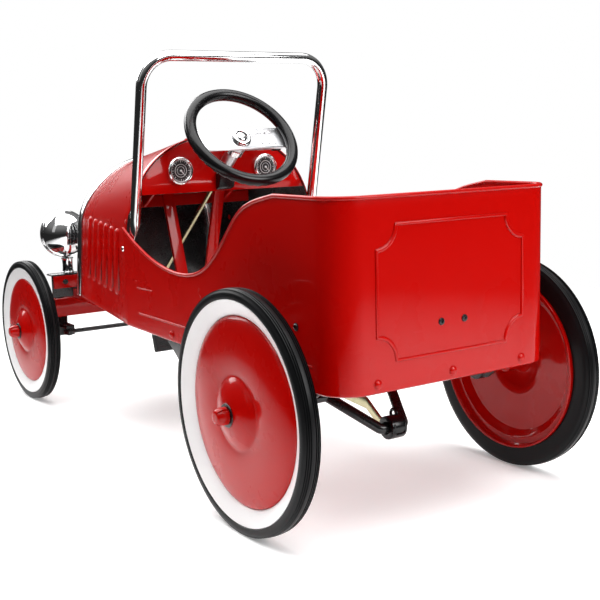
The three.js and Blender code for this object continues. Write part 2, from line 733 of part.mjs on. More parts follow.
function makeTieRod() {
  const low = tieRodZ - tieEyeHeight / 2;
  const high = tieRodZ + tieEyeHeight / 2;
  let rod = roundBar([-kingpinX, tieRodY, tieRodZ], [kingpinX, tieRodY, tieRodZ], tieRodRadius - 0.5, 12);
  const slotHalf = crankPinRadius + tonguePinGap;
  const tongueEndY = crankTipY + slotHalf + 6;
  const tongue = block(-tongueHalfWidth, tongueHalfWidth, tieRodY, tongueEndY, tieRodZ - 1.5, tieRodZ + 1.5);
  rod = rod.add(tongue);
  rod = rod.subtract(block(-slotHalf, slotHalf, crankTipY - slotHalf, crankTipY + slotHalf, low, high));
  for (const side of [1, -1]) {
    const eye = roundBar([side * kingpinX, tieRodY, low], [side * kingpinX, tieRodY, high], tieEyeRadius, 16);
    rod = rod.add(eye);
  }
  for (const side of [1, -1]) {
    rod = rod.subtract(roundBar([side * kingpinX, tieRodY, low - 1], [side * kingpinX, tieRodY, high + 1],
      tiePinRadius + runningGap, 16));
  }
  return rod;
}
addPiece(car, 'tie_rod', makeTieRod(), blackSteel);

// Wheels: rubber tyre, white ring, pressed disc and cap, turned about the axle.
function addWheel(word, side, axle, size) {
  const wheel = groupAt(car, side * size.face, axle[0], axle[1]);
  wheel.rotation.z = -side * Math.PI / 2;
  const { radius, width, ringOuter, ringInner, recess, dome, hubRise } = size;
  const ringLip = 0.8;
  const slope = (recess - ringLip) / (ringOuter - ringInner);
  const ringFace = (r) => -ringLip - (ringOuter - r) * slope;
  const ringWall = 2;
  const behindRing = (r) => ringFace(r) - ringWall - touchGap;
  const barrel = ringInner + 5;
  const seat = barrel + touchGap;
  const shoulder = 4;
  const sides = 24;
  const treadSides = 2 * sides;
  addPiece(wheel, `${word}_tyre`, turned([
    [ringOuter + touchGap, -ringLip], [ringOuter + touchGap, behindRing(ringOuter)], [seat, behindRing(seat)],
    [seat, -width], [radius - shoulder, -width], [radius, -width + shoulder],
    [radius, -shoulder], [radius - shoulder, 0],
  ], treadSides, true), blackRubber);
  addPiece(wheel, `${word}_white_ring`, turned([
    [ringInner + touchGap, ringFace(ringInner)], [ringOuter, -ringLip], [ringOuter, -ringLip - ringWall],
    [ringInner + touchGap, ringFace(ringInner) - ringWall],
  ], sides, true), whiteEnamel);
  const bore = size.axle + touchGap;
  const skin = 2;
  addPiece(wheel, `${word}_disc`, turned([
    [bore, hubRise], [12, hubRise - 0.5], [dome * 0.75, hubRise * 0.45], [dome, -0.1 * recess],
    [ringInner * 0.8, -0.5 * recess], [ringInner, -recess], [ringInner, behindRing(ringInner)],
    [barrel, behindRing(barrel)], [barrel, -width - 3], [barrel - skin, -width - 3],
    [barrel - skin, -recess - 4.5], [ringInner - 6, -recess - skin], [dome, -0.22 * recess - skin],
    [12, -width - 4], [bore, -width - 4],
  ], sides, true), paint);
  const capBase = hubRise + 1.2;
  addPiece(wheel, `${word}_hub_cap`, turned([
    [0, capBase], [9.5, capBase], [9.5, size.capTip - 6], [7.5, size.capTip - 2], [4, size.capTip],
    [0, size.capTip],
  ], 16), paint);
}

const rearWheel = {
  face: rearTyreFace, radius: rearWheelRadius, width: 21, ringOuter: 119, ringInner: 101.3, recess: 10,
  dome: 38, hubRise: 8.5, capTip: 23, axle: axleRadius,
};
const frontWheel = {
  face: frontTyreFace, radius: frontWheelRadius, width: 20, ringOuter: 100, ringInner: 82, recess: 5,
  dome: 33, hubRise: 9, capTip: 24, axle: frontStubRadius,
};
for (const [word, side] of [['left', 1], ['right', -1]]) {
  addWheel(`rear_${word}`, side, [rearAxleY, rearWheelRadius], rearWheel);
  addWheel(`front_${word}`, side, [frontAxleY, frontWheelRadius], frontWheel);
}

// Crankshaft: one bent bar, with opposite throws and slanted webs, turned in its own frame about X.
const shaftEnd = rearTyreFace + rearWheel.hubRise;
const leftPin = [crankThrow * Math.cos(crankDroop), rearWheelRadius - crankThrow * Math.sin(crankDroop)];

function pinCentre(side) {
  return [rearAxleY + side * leftPin[0], rearWheelRadius + side * (leftPin[1] - rearWheelRadius)];
}

function makeCrankshaft() {
  const corner = (x, side, isOut) => {
    const [y, z] = isOut ? pinCentre(side) : [rearAxleY, rearWheelRadius];
    return [x, y, z];
  };
  const route = [
    corner(shaftEnd, 1, false), corner(crankStraightStart, 1, false), corner(crankPinOuter, 1, true),
    corner(crankPinInner, 1, true), corner(-crankPinInner, -1, true), corner(-crankPinOuter, -1, true),
    corner(-crankStraightStart, -1, false), corner(-shaftEnd, -1, false),
  ];
  let shaft = null;
  route.slice(1).forEach((point, i) => {
    const bar = roundBar(route[i], point, axleRadius, 10);
    shaft = shaft ? shaft.add(bar) : bar;
    if (i < route.length - 2) {
      const joint = new THREE.SphereGeometry(axleRadius, 10, 6);
      joint.translate(...point);
      shaft = shaft.add(toSolid(joint));
    }
  });
  return shaft;
}
addPiece(car, 'crankshaft', makeCrankshaft(), blackSteel);

// Hangers: side plates under the tub with bearing bosses around the shaft.
const hangerTopZ = tubBottomRearZ + 6;
const hangerLowZ = hangerTopZ - 24;
for (const [word, side] of [['left', 1], ['right', -1]]) {
  const outline = [
    [rearAxleY - 280, hangerTopZ], [rearAxleY - 247, hangerLowZ], [rearAxleY - 40, hangerLowZ],
    [rearAxleY - 16, hangerLowZ - 16], [rearAxleY + 16, hangerLowZ - 16], [rearAxleY + 38, hangerLowZ],
    [rearAxleY + 70, hangerTopZ],
  ];
  const edges = (low, high) => (side > 0 ? [low, high] : [-high, -low]);
  const plate = prismAlong('x', outline, ...edges(hangerX, hangerX + hangerWall));
  const [bossLow, bossHigh] = edges(hangerX - 4, hangerX - 4 + hangerBossWidth);
  const boss = roundBar([bossLow, rearAxleY, rearWheelRadius], [bossHigh, rearAxleY, rearWheelRadius],
    hangerBossRadius, 20);
  const bore = roundBar([bossLow - 1, rearAxleY, rearWheelRadius], [bossHigh + 1, rearAxleY, rearWheelRadius],
    axleRadius + runningGap, 16);
  addPiece(car, `${word}_axle_hanger`, plate.add(boss).subtract(bore), blackSteel);
}

// Pedals: levers hang from a rod carried by the crossbar; rods run back to the crank pins.
const crossbarY = pedalPivotY - crossbarAheadOfPivot;
const crossbarZ = pedalPivotZ - crossbarBelowPivot;
const pivotReach = pivotHalfSpan + 8;

function makeCrossbar() {
  const half = crossbarHalf;
  const reach = hoodInsideAt(crossbarY - half, crossbarZ + half) - sheetGap;
  let bar = block(-reach, reach, crossbarY - half, crossbarY + half, crossbarZ - half, crossbarZ + half);
  for (const side of [1, -1]) {
    const outline = [[crossbarY, crossbarZ - half], [crossbarY + half, crossbarZ - half],
      [pedalPivotY + 9, pedalPivotZ - 6], [pedalPivotY + 9, pedalPivotZ + 8], [crossbarY, pedalPivotZ + 8]];
    const inner = side > 0 ? pivotHalfSpan : -pivotHalfSpan - lugWall;
    bar = bar.add(prismAlong('x', outline, inner, inner + lugWall));
  }
  return bar.subtract(roundBar([-pivotReach, pedalPivotY, pedalPivotZ],
    [pivotReach, pedalPivotY, pedalPivotZ], pedalPivotRadius + touchGap, 12));
}
addPiece(car, 'pedal_crossbar', makeCrossbar(), paint);
addPiece(car, 'pedal_pivot_rod', roundBar([-pivotReach, pedalPivotY, pedalPivotZ],
  [pivotReach, pedalPivotY, pedalPivotZ], pedalPivotRadius, 12), zincPlate);

for (const [word, side] of [['left', 1], ['right', -1]]) {
  const lever = groupAt(car, side * pedalX, pedalPivotY, pedalPivotZ);
  lever.rotation.x = side * pedalSwingAtRest;
  const half = pedalWidth / 2;
  const bar = block(-half, half, -pedalBar / 2, pedalBar / 2, -pedalLength, -2);
  const hub = roundBar([-half, 0, 0], [half, 0, 0], pedalHubRadius, 16);
  const bore = roundBar([-half - 1, 0, 0], [half + 1, 0, 0], pedalPivotRadius + runningGap, 12);
  addPiece(lever, `${word}_pedal_lever`, bar.add(hub).subtract(bore), paint);
  const treadInner = side * (half + touchGap);
  const treadOuter = side * (half + touchGap + treadWidth);
  const edges = [treadInner, treadOuter].sort((a, b) => a - b);
  addPiece(lever, `${word}_pedal_tread`, block(...edges, -treadHeight / 2, treadHeight / 2,
    -pedalLength, -pedalLength + treadDepth), blackRubber);
}

function leverPin(side) {
  const swing = side * pedalSwingAtRest;
  return [pedalPivotY + pedalRodReach * Math.sin(swing), pedalPivotZ - pedalRodReach * Math.cos(swing)];
}

for (const [word, side] of [['left', 1], ['right', -1]]) {
  const [pinY, pinZ] = pinCentre(side);
  const [eyeY, eyeZ] = leverPin(side);
  const centreX = side * rodX;
  const halfEnd = bigEndWidth / 2;
  const pinAxis = (reach) => [[centreX - reach, pinY, pinZ], [centreX + reach, pinY, pinZ]];
  const bigEnd = roundBar(...pinAxis(halfEnd), bigEndRadius, 20)
    .subtract(roundBar(...pinAxis(halfEnd + 1), axleRadius + touchGap, 16));
  addPiece(car, `${word}_big_end`, bigEnd, blackPlastic);
  const half = rodStripHeight / 2;
  const lineUp = [[pinY - 8, pinZ], [pinY - 22, pinZ], [pinY - 46, pinZ + rodJoggle],
    [pinY - 150, lerp(pinZ + rodJoggle, eyeZ, 0.1)], [eyeY, eyeZ]];
  const upperEdge = lineUp.map(([y, z]) => [y, z + half]);
  const lowerEdge = lineUp.map(([y, z]) => [y, z - half]);
  const outline = [...upperEdge, ...lowerEdge.reverse()];
  const edges = [centreX - rodStrip / 2, centreX + rodStrip / 2];
  const strip = prismAlong('x', outline, ...edges)
    .subtract(roundBar(...pinAxis(halfEnd + 1), bigEndRadius + touchGap, 20))
    .add(roundBar([edges[0], eyeY, eyeZ], [edges[1], eyeY, eyeZ], half, 16));
  addPiece(car, `${word}_connecting_rod`, strip, zincPlate);
}

export default car;
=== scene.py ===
import json
import math

import bpy
from mathutils import Matrix, Vector

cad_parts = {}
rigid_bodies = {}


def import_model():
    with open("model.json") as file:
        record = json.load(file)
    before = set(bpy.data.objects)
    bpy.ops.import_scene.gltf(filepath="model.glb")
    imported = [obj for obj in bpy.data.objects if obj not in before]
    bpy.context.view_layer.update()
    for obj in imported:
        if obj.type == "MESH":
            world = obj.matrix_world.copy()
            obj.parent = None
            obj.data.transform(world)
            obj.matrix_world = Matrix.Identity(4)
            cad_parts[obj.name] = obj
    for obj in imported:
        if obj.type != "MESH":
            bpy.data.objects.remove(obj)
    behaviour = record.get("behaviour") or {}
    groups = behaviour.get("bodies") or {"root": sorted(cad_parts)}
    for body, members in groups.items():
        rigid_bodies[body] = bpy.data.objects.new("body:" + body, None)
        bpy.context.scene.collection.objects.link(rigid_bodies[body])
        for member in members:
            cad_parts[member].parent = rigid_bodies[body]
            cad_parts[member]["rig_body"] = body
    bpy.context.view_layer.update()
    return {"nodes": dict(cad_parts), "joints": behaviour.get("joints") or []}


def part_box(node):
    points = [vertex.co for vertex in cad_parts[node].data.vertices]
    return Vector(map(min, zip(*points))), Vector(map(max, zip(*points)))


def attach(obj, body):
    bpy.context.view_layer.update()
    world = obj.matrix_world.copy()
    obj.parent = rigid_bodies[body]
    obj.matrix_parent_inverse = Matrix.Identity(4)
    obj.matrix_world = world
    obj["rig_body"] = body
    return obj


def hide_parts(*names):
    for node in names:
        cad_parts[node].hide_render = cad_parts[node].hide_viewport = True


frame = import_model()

mm = 0.001
nodes = frame["nodes"]
joints = {joint["name"]: joint for joint in frame["joints"]}


# working helpers
def clearSelection():
    if bpy.context.object and bpy.context.object.mode != "OBJECT":
        bpy.ops.object.mode_set(mode="OBJECT")
    bpy.ops.object.select_all(action="DESELECT")


def pick(piece):
    clearSelection()
    piece.select_set(True)
    bpy.context.view_layer.objects.active = piece


def settle(piece):  # place, turn and size go into the mesh
    pick(piece)
    bpy.ops.object.transform_apply(location=True, rotation=True, scale=True)
    return piece


def startPiece(kind, name, **settings):
    clearSelection()
    getattr(bpy.ops.mesh, "primitive_" + kind + "_add")(**settings)
    piece = bpy.context.object
    piece.name = name
    return settle(piece)


def useModifier(piece, kind, **settings):
    pick(piece)
    modifier = piece.modifiers.new(kind, kind)
    for key, value in settings.items():
        setattr(modifier, key, value)
    bpy.ops.object.modifier_apply(modifier=modifier.name)
    return piece


def softenEdges(piece, width, segments=2, angle=32):
    return useModifier(piece, "BEVEL", width=width * mm, segments=segments, limit_method="ANGLE",
                       angle_limit=math.radians(angle), use_clamp_overlap=True)


def smooth(piece, angle=35):
    pick(piece)
    bpy.ops.object.shade_smooth_by_angle(angle=math.radians(angle))
    return piece


def editAll(piece, mode="VERT"):
    pick(piece)
    bpy.ops.object.mode_set(mode="EDIT")
    bpy.ops.mesh.select_mode(type=mode)
    bpy.ops.mesh.select_all(action="SELECT")


def leaveEdit():
    bpy.ops.object.mode_set(mode="OBJECT")


def selectPart(piece, mode, test):  # selects vertices, edges or faces by a test, and stays in edit mode
    pick(piece)
    bpy.ops.object.mode_set(mode="EDIT")
    bpy.ops.mesh.select_mode(type=mode)
    bpy.ops.mesh.select_all(action="DESELECT")
    bpy.ops.object.mode_set(mode="OBJECT")
    parts = {"VERT": piece.data.vertices, "EDGE": piece.data.edges, "FACE": piece.data.polygons}[mode]
    for part in parts:
        part.select = bool(test(part))
    bpy.ops.object.mode_set(mode="EDIT")


def makeClean(piece, gap=1e-6):
    editAll(piece)
    bpy.ops.mesh.remove_doubles(threshold=gap)
    bpy.ops.mesh.dissolve_degenerate(threshold=1e-7)
    bpy.ops.mesh.normals_make_consistent(inside=False)
    leaveEdit()
    return piece


def place(piece, at, towards=(0, 0, 1), sideways=(1, 0, 0)):  # its own Z goes towards, its X near sideways
    up = Vector(towards).normalized()
    across = Vector(sideways) - up * Vector(sideways).dot(up)
    if across.length < 1e-6:
        across = up.orthogonal()
    across.normalize()
    turn = Matrix((across, up.cross(across), up)).transposed().to_4x4()
    piece.matrix_world = Matrix.Translation(Vector(at)) @ turn
    return settle(piece)


def turned(name, profile, steps=48):  # spins (radius, height) pairs, in mm, about Z
    piece = startPiece("circle", name, vertices=len(profile), radius=1, fill_type="NOTHING")
    for corner, (radius, height) in zip(piece.data.vertices, profile):
        corner.co = (radius * mm, 0, height * mm)
    editAll(piece)
    bpy.ops.mesh.spin(steps=steps, angle=2 * math.pi, center=(0, 0, 0), axis=(0, 0, 1))
    leaveEdit()
    return smooth(makeClean(piece))


def tube(name, points, radius, sides=5, closed=False, flat=1.0, caps=True):  # points in metres
    clearSelection()
    bpy.ops.curve.primitive_bezier_curve_add()
    piece = bpy.context.object
    piece.name = name
    curve = piece.data
    curve.splines.clear()
    spline = curve.splines.new("POLY")
    spline.points.add(len(points) - 1)
    for knot, point in zip(spline.points, points):
        knot.co = (*point, 1)
    spline.use_cyclic_u = closed
    curve.dimensions = "3D"
    curve.bevel_depth = radius * mm
    curve.bevel_resolution = sides
    curve.use_fill_caps = caps and not closed
    bpy.ops.object.convert(target="MESH")
    piece = bpy.context.object
    return smooth(makeClean(settle(piece)), 50)


def roundedRoute(corners, radius, steps=8):  # metres, with each inner corner turned into an arc
    route = [Vector(corners[0])]
    for before, corner, after in zip(corners, corners[1:], corners[2:]):
        corner = Vector(corner)
        back = (Vector(before) - corner).normalized()
        ahead = (Vector(after) - corner).normalized()
        half = back.angle(ahead) / 2
        if half > math.pi / 2 - 0.01:
            route.append(corner)
            continue
        reach = radius / math.tan(half)
        centre = corner + (back + ahead).normalized() * radius / math.sin(half)
        start = corner + back * reach - centre
        end = corner + ahead * reach - centre
        for i in range(steps + 1):
            route.append(centre + start.normalized().slerp(end.normalized(), i / steps) * radius)
    route.append(Vector(corners[-1]))
    return route


def copyOf(piece, name):
    twin = piece.copy()
    twin.data = piece.data.copy()
    twin.name = name
    bpy.context.scene.collection.objects.link(twin)
    return twin


def joined(name, pieces):
    clearSelection()
    for piece in pieces:
        piece.select_set(True)
    bpy.context.view_layer.objects.active = pieces[0]
    if len(pieces) > 1:
        bpy.ops.object.join()
    pieces[0].name = name
    return pieces[0]


def fromNode(node, name):  # a merged copy of a CAD node with its flat faces made whole
    piece = bpy.data.objects.new(name, nodes[node].data.copy())
    bpy.context.scene.collection.objects.link(piece)
    piece.data.materials.clear()
    editAll(piece)
    bpy.ops.mesh.remove_doubles(threshold=2e-6)
    bpy.ops.mesh.customdata_custom_splitnormals_clear()
    leaveEdit()
    return piece


def refined(node, width, segments=2, angle=32, smoothing=38):
    piece = fromNode(node, node + "_finished")
    editAll(piece, "FACE")
    bpy.ops.mesh.dissolve_limited(angle_limit=math.radians(0.6))
    leaveEdit()
    softenEdges(piece, width, segments, angle)
    return smooth(piece, smoothing)


def hitOn(piece, start, heading):  # where a straight line meets a piece: place and outward normal
    found, spot, normal, _ = piece.ray_cast(Vector(start), Vector(heading).normalized())
    if not found:
        raise ValueError("nothing is met on " + piece.name)
    return spot, normal


# shader helpers
class Wire:
    def __init__(self, finish, socket):
        self.finish = finish
        self.socket = socket

    def count(self, operation, other=0.0, flipped=False):
        first, second = (other, self) if flipped else (self, other)
        return self.finish.add("ShaderNodeMath", {"operation": operation}, {0: first, 1: second})

    def __add__(self, other):
        return self.count("ADD", other)

    def __radd__(self, other):
        return self.count("ADD", other, True)

    def __rsub__(self, other):
        return self.count("SUBTRACT", other, True)

    def __mul__(self, other):
        return self.count("MULTIPLY", other)


class Finish:
    def __init__(self, name, **constants):
        self.material = bpy.data.materials.new(name)
        self.material.use_nodes = True
        self.tree = self.material.node_tree
        self.shader = self.tree.nodes["Principled BSDF"]
        for key, value in constants.items():
            self.shader.inputs[key.replace("_", " ")].default_value = value

    def add(self, kind, settings, values, output=0):
        node = self.tree.nodes.new(kind)
        for key, value in settings.items():
            if key == "stops":
                ramp = node.color_ramp
                while len(ramp.elements) < len(value):
                    ramp.elements.new(0.5)
                for element, (position, shade) in zip(ramp.elements, value):
                    element.position = position
                    element.color = shade if len(shade) == 4 else (*shade, 1)
            else:
                setattr(node, key, value)
        for key, value in values.items():
            if isinstance(value, Wire):
                self.tree.links.new(value.socket, node.inputs[key])
            else:
                node.inputs[key].default_value = value
        return Wire(self, node.outputs[output])

    def feed(self, name, wire):
        self.tree.links.new(wire.socket, self.shader.inputs[name])

    def spot(self):
        return self.add("ShaderNodeTexCoord", {}, {}, "Object")

    def noise(self, scale, detail=3.0, stretch=None, roughness=0.55):
        where = self.spot()
        if stretch:
            where = self.add("ShaderNodeMapping", {}, {"Vector": where, "Scale": stretch})
        values = {"Vector": where, "Scale": scale, "Detail": detail, "Roughness": roughness}
        return self.add("ShaderNodeTexNoise", {}, values, "Fac")

    def steps(self, wire, low, high):  # 0 below low, 1 above high
        values = {"Value": wire, "From Min": low, "From Max": high, "To Min": 0.0, "To Max": 1.0}
        return self.add("ShaderNodeMapRange", {"clamp": True}, values)

    def mixColours(self, share, first, second):
        values = {0: share, 6: first, 7: second}
        return self.add("ShaderNodeMix", {"data_type": "RGBA"}, values, 2)

    def bump(self, height, strength, distance):
        values = {"Height": height, "Strength": strength, "Distance": distance}
        return self.add("ShaderNodeBump", {}, values)


def shade(red, green, blue):
    return (red, green, blue, 1.0)


# finishes
def redEnamel():
    paint = {"full": (0.435, 0.0016, 0.0004), "deep": (0.395, 0.0010, 0.0003), "dust": (0.46, 0.02, 0.014)}
    finish = Finish("red_enamel", Coat_Weight=0.48, Coat_Roughness=0.045, Coat_IOR=1.45, IOR=1.40,
                    Specular_IOR_Level=0.08)
    full, deep, dust = [shade(*paint[key]) for key in ("full", "deep", "dust")]
    clouds = finish.noise(7.0, 4.0)
    tone = finish.mixColours(clouds, deep, full)
    specks = finish.steps(finish.noise(900.0, 2.0), 0.74, 0.80) * 0.2
    finish.feed("Base Color", finish.mixColours(specks, tone, dust))
    handling = finish.steps(finish.noise(14.0, 4.0), 0.40, 0.80)
    scratches = finish.steps(finish.noise(120.0, 2.0, (0.05, 1.0, 1.0)), 0.70, 0.80)
    finish.feed("Roughness", 0.27 + handling * 0.05 + scratches * 0.03)
    peel = finish.noise(700.0, 1.0)
    finish.feed("Normal", finish.bump(peel, 0.02, 0.0003))
    return finish.material


def plate(name, tone, low, high, grain=260.0, stretch=(1.0, 1.0, 1.0), depth=0.03, tint=None):
    finish = Finish(name, Metallic=1.0)
    mist = finish.noise(18.0, 4.0)
    second = tint or tuple(channel * 0.9 for channel in tone)
    finish.feed("Base Color", finish.mixColours(finish.steps(mist, 0.35, 0.7), shade(*tone), shade(*second)))
    wipes = finish.noise(grain, 3.0, stretch)
    finish.feed("Roughness", low + finish.steps(mist, 0.3, 0.8) * (high - low) * 0.6
                + wipes * (high - low) * 0.4)
    finish.feed("Normal", finish.bump(wipes + mist * 2.0, depth, 0.0004))
    return finish.material


def mouldedBlack(name, tone, rough, grain, depth, sheen=0.5):
    finish = Finish(name, IOR=1.5, Specular_IOR_Level=sheen)
    clouds = finish.noise(24.0, 4.0)
    dusty = tuple(channel * 1.7 + 0.001 for channel in tone)
    pores = finish.noise(grain, 2.0)
    share = finish.steps(clouds, 0.4, 0.8) * 0.45 + finish.steps(pores, 0.6, 0.8) * 0.2
    finish.feed("Base Color", finish.mixColours(share, shade(*tone), shade(*dusty)))
    finish.feed("Roughness", rough + clouds * 0.12 + pores * 0.06)
    finish.feed("Normal", finish.bump(pores + clouds, depth, 0.0005))
    return finish.material


def whiteEnamel():
    finish = Finish("white_enamel", Coat_Weight=0.25, Coat_Roughness=0.15)
    clouds = finish.noise(12.0, 4.0)
    marks = finish.steps(finish.noise(70.0, 4.0, (1.0, 0.4, 0.4)), 0.62, 0.8) * 0.35
    tone = finish.mixColours(clouds, shade(0.93, 0.925, 0.92), shade(0.86, 0.85, 0.86))
    finish.feed("Base Color", finish.mixColours(marks, tone, shade(0.72, 0.70, 0.70)))
    finish.feed("Roughness", 0.34 + marks * 0.3)
    finish.feed("Normal", finish.bump(finish.noise(350.0, 2.0), 0.05, 0.0004))
    return finish.material


def lampGlass():
    finish = Finish("lamp_glass", IOR=1.47, Transmission_Weight=0.88)
    clouds = finish.noise(30.0, 3.0)
    finish.feed("Base Color", finish.mixColours(clouds, shade(0.93, 0.96, 0.97), shade(0.85, 0.9, 0.92)))
    flutes = finish.add("ShaderNodeTexWave", {"wave_type": "BANDS", "bands_direction": "X"},
                        {"Vector": finish.spot(), "Scale": 55.0, "Distortion": 0.0})
    finish.feed("Roughness", 0.05 + clouds * 0.06)
    finish.feed("Normal", finish.bump(flutes, 0.5, 0.0012))
    return finish.material


finishes = {
    "paint": redEnamel(),
    "chrome": plate("bright_chrome", (0.88, 0.885, 0.89), 0.035, 0.11, 300.0),
    "satin": plate("satin_chrome", (0.66, 0.665, 0.68), 0.24, 0.36, 500.0, (0.06, 1.0, 1.0), 0.05),
    "zinc": plate("yellow_zinc", (0.50, 0.44, 0.28), 0.18, 0.34, 420.0, (1.0, 0.2, 1.0), 0.06,
                  (0.38, 0.37, 0.22)),
    "tyre": mouldedBlack("tyre_rubber", (0.0045, 0.0046, 0.0052), 0.26, 700.0, 0.08, 0.14),
    "tread": mouldedBlack("tread_rubber", (0.014, 0.014, 0.015), 0.62, 500.0, 0.3, 0.35),
    "plastic": mouldedBlack("black_plastic", (0.0035, 0.0035, 0.004), 0.13, 900.0, 0.04, 0.32),
    "steel": mouldedBlack("black_paint", (0.0045, 0.0045, 0.005), 0.18, 600.0, 0.05, 0.5),
    "dial": mouldedBlack("dial_black", (0.006, 0.006, 0.007), 0.42, 1500.0, 0.05),
    "white": whiteEnamel(),
    "glass": lampGlass(),
}
print("finishes ready")


def finishPiece(piece, look, body, *stoodFor):
    piece.data.materials.clear()
    piece.data.materials.append(finishes[look])
    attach(piece, body)
    if stoodFor:
        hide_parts(*stoodFor)
    return piece


def finishGroup(name, pieces, look, body, *stoodFor):
    return finishPiece(smooth(joined(name, pieces), 60), look, body, *stoodFor)


def bodyOf(node):
    return nodes[node]["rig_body"]


def refinedPiece(node, look, width, segments=2, angle=32, smoothing=38):
    return finishPiece(refined(node, width, segments, angle, smoothing), look, bodyOf(node), node)


# camera, light and floor
cameraPlan = {
    "place": (0.73642, 1.27562, 0.41763), "yaw": 0.588264, "pitch": -0.158591, "roll": -0.025065,
    "lens": 63.964, "sensor": 36.0,
}


def setCamera(plan):
    clearSelection()
    bpy.ops.object.camera_add(location=plan["place"])
    camera = bpy.context.object
    yaw, pitch, roll = plan["yaw"], plan["pitch"], plan["roll"]
    ahead = Vector((-math.sin(yaw) * math.cos(pitch), -math.cos(yaw) * math.cos(pitch), math.sin(pitch)))
    across = ahead.cross(Vector((0, 0, 1))).normalized()
    up = across.cross(ahead)
    tiltedAcross = across * math.cos(roll) + up * math.sin(roll)
    tiltedUp = up * math.cos(roll) - across * math.sin(roll)
    turn = Matrix((tiltedAcross, tiltedUp, -ahead)).transposed()
    camera.rotation_euler = turn.to_euler()
    camera.data.lens = plan["lens"]
    camera.data.sensor_width = plan["sensor"]
    camera.data.clip_end = 100
    bpy.context.scene.camera = camera


setCamera(cameraPlan)

lightPlan = {
    "top": {"at": (0.1, 0.1, 2.3), "size": (3.2, 3.0), "watts": 118, "aim": (0, 0, 0.2)},
    "rear": {"at": (-0.9, 2.5, 1.5), "size": (1.5, 1.3), "watts": 50, "aim": (-0.05, 0.4, 0.25)},
    "left": {"at": (2.5, 0.1, 1.5), "size": (0.8, 1.6), "watts": 1.5, "aim": (0.1, -0.1, 0.2)},
    "front": {"at": (0.5, -3.2, 2.0), "size": (3.0, 1.8), "watts": 110, "aim": (0, -0.2, 0.3)},
}


def addSoftbox(name, plan):
    clearSelection()
    bpy.ops.object.light_add(type="AREA", location=plan["at"])
    box = bpy.context.object
    box.name = "softbox_" + name
    box.data.shape = "RECTANGLE"
    box.data.size, box.data.size_y = plan["size"]
    box.data.energy = plan["watts"]
    heading = Vector(plan["aim"]) - Vector(plan["at"])
    box.rotation_euler = heading.to_track_quat("-Z", "Y").to_euler()


for boxName, boxPlan in lightPlan.items():
    addSoftbox(boxName, boxPlan)


def setWorld():
    world = bpy.data.worlds.new("studio")
    bpy.context.scene.world = world
    world.use_nodes = True
    tree = world.node_tree
    surround = tree.nodes["Background"]
    heading = tree.nodes.new("ShaderNodeTexCoord")
    split = tree.nodes.new("ShaderNodeSeparateXYZ")
    tree.links.new(heading.outputs["Generated"], split.inputs[0])
    ramp = tree.nodes.new("ShaderNodeValToRGB")
    stops = [(0.0, 0.02), (0.04, 0.03), (0.20, 0.06), (0.50, 0.20), (1.0, 0.28)]
    while len(ramp.color_ramp.elements) < len(stops):
        ramp.color_ramp.elements.new(0.5)
    for element, (position, grey) in zip(ramp.color_ramp.elements, stops):
        element.position = position
        element.color = shade(grey, grey, grey)
    tree.links.new(split.outputs["Z"], ramp.inputs[0])
    tree.links.new(ramp.outputs[0], surround.inputs["Color"])
    backdrop = tree.nodes.new("ShaderNodeBackground")
    backdrop.inputs["Color"].default_value = shade(1, 1, 1)
    backdrop.inputs["Strength"].default_value = 1.0
    rays = tree.nodes.new("ShaderNodeLightPath")
    choose = tree.nodes.new("ShaderNodeMixShader")
    tree.links.new(rays.outputs["Is Camera Ray"], choose.inputs[0])
    tree.links.new(surround.outputs[0], choose.inputs[1])
    tree.links.new(backdrop.outputs[0], choose.inputs[2])
    tree.links.new(choose.outputs[0], tree.nodes["World Output"].inputs["Surface"])


setWorld()
floor = startPiece("plane", "studio_floor", size=8)
floorPlan = {"middle": (-0.3, 0.3, 0.0), "bright": 0.62, "gone": 1.25, "stretch": (1.0, 0.72, 1.0)}


def floorMaterial():
    finish = Finish("studio_floor", Roughness=0.6, Specular_IOR_Level=0.1, Emission_Color=shade(1, 1, 1),
                    Emission_Strength=0.24)
    tone = finish.noise(0.8, 2.0)
    finish.feed("Base Color", finish.mixColours(tone, shade(0.93, 0.93, 0.93), shade(0.91, 0.91, 0.91)))
    away = finish.add("ShaderNodeVectorMath", {"operation": "SUBTRACT"},
                      {0: finish.spot(), 1: floorPlan["middle"]})
    away = finish.add("ShaderNodeVectorMath", {"operation": "MULTIPLY"}, {0: away, 1: floorPlan["stretch"]})
    reach = finish.add("ShaderNodeVectorMath", {"operation": "LENGTH"}, {0: away}, "Value")
    finish.feed("Alpha", 1.0 - finish.steps(reach, floorPlan["bright"], floorPlan["gone"]))
    return finish.material


floor.data.materials.append(floorMaterial())
bpy.context.scene.view_settings.view_transform = "Standard"
print("camera, light and floor ready")

# tub: one sheet folded round the plan, cut to the doorway's sweep, with a rolled top edge
tub = {
    "wall": 1.7, "cornerRadius": 0.036, "cornerSteps": 14, "rows": 14, "frontBottomZ": 0.163,
    "rearBottomZ": 0.154, "sillZ": 0.2505, "rimZ": 0.353, "doorwayLength": 0.372, "rim": 2.3,
    "foldHeight": 0.005, "foldIn": 0.0035,
    "sweep": [(0, 0.444), (0.097, 0.268), (0.247, 0.083), (0.411, 0), (0.556, 0.068), (0.669, 0.317),
              (0.793, 0.746), (0.876, 0.902), (1, 1)],
}
tubLow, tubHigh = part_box("tub_shell")


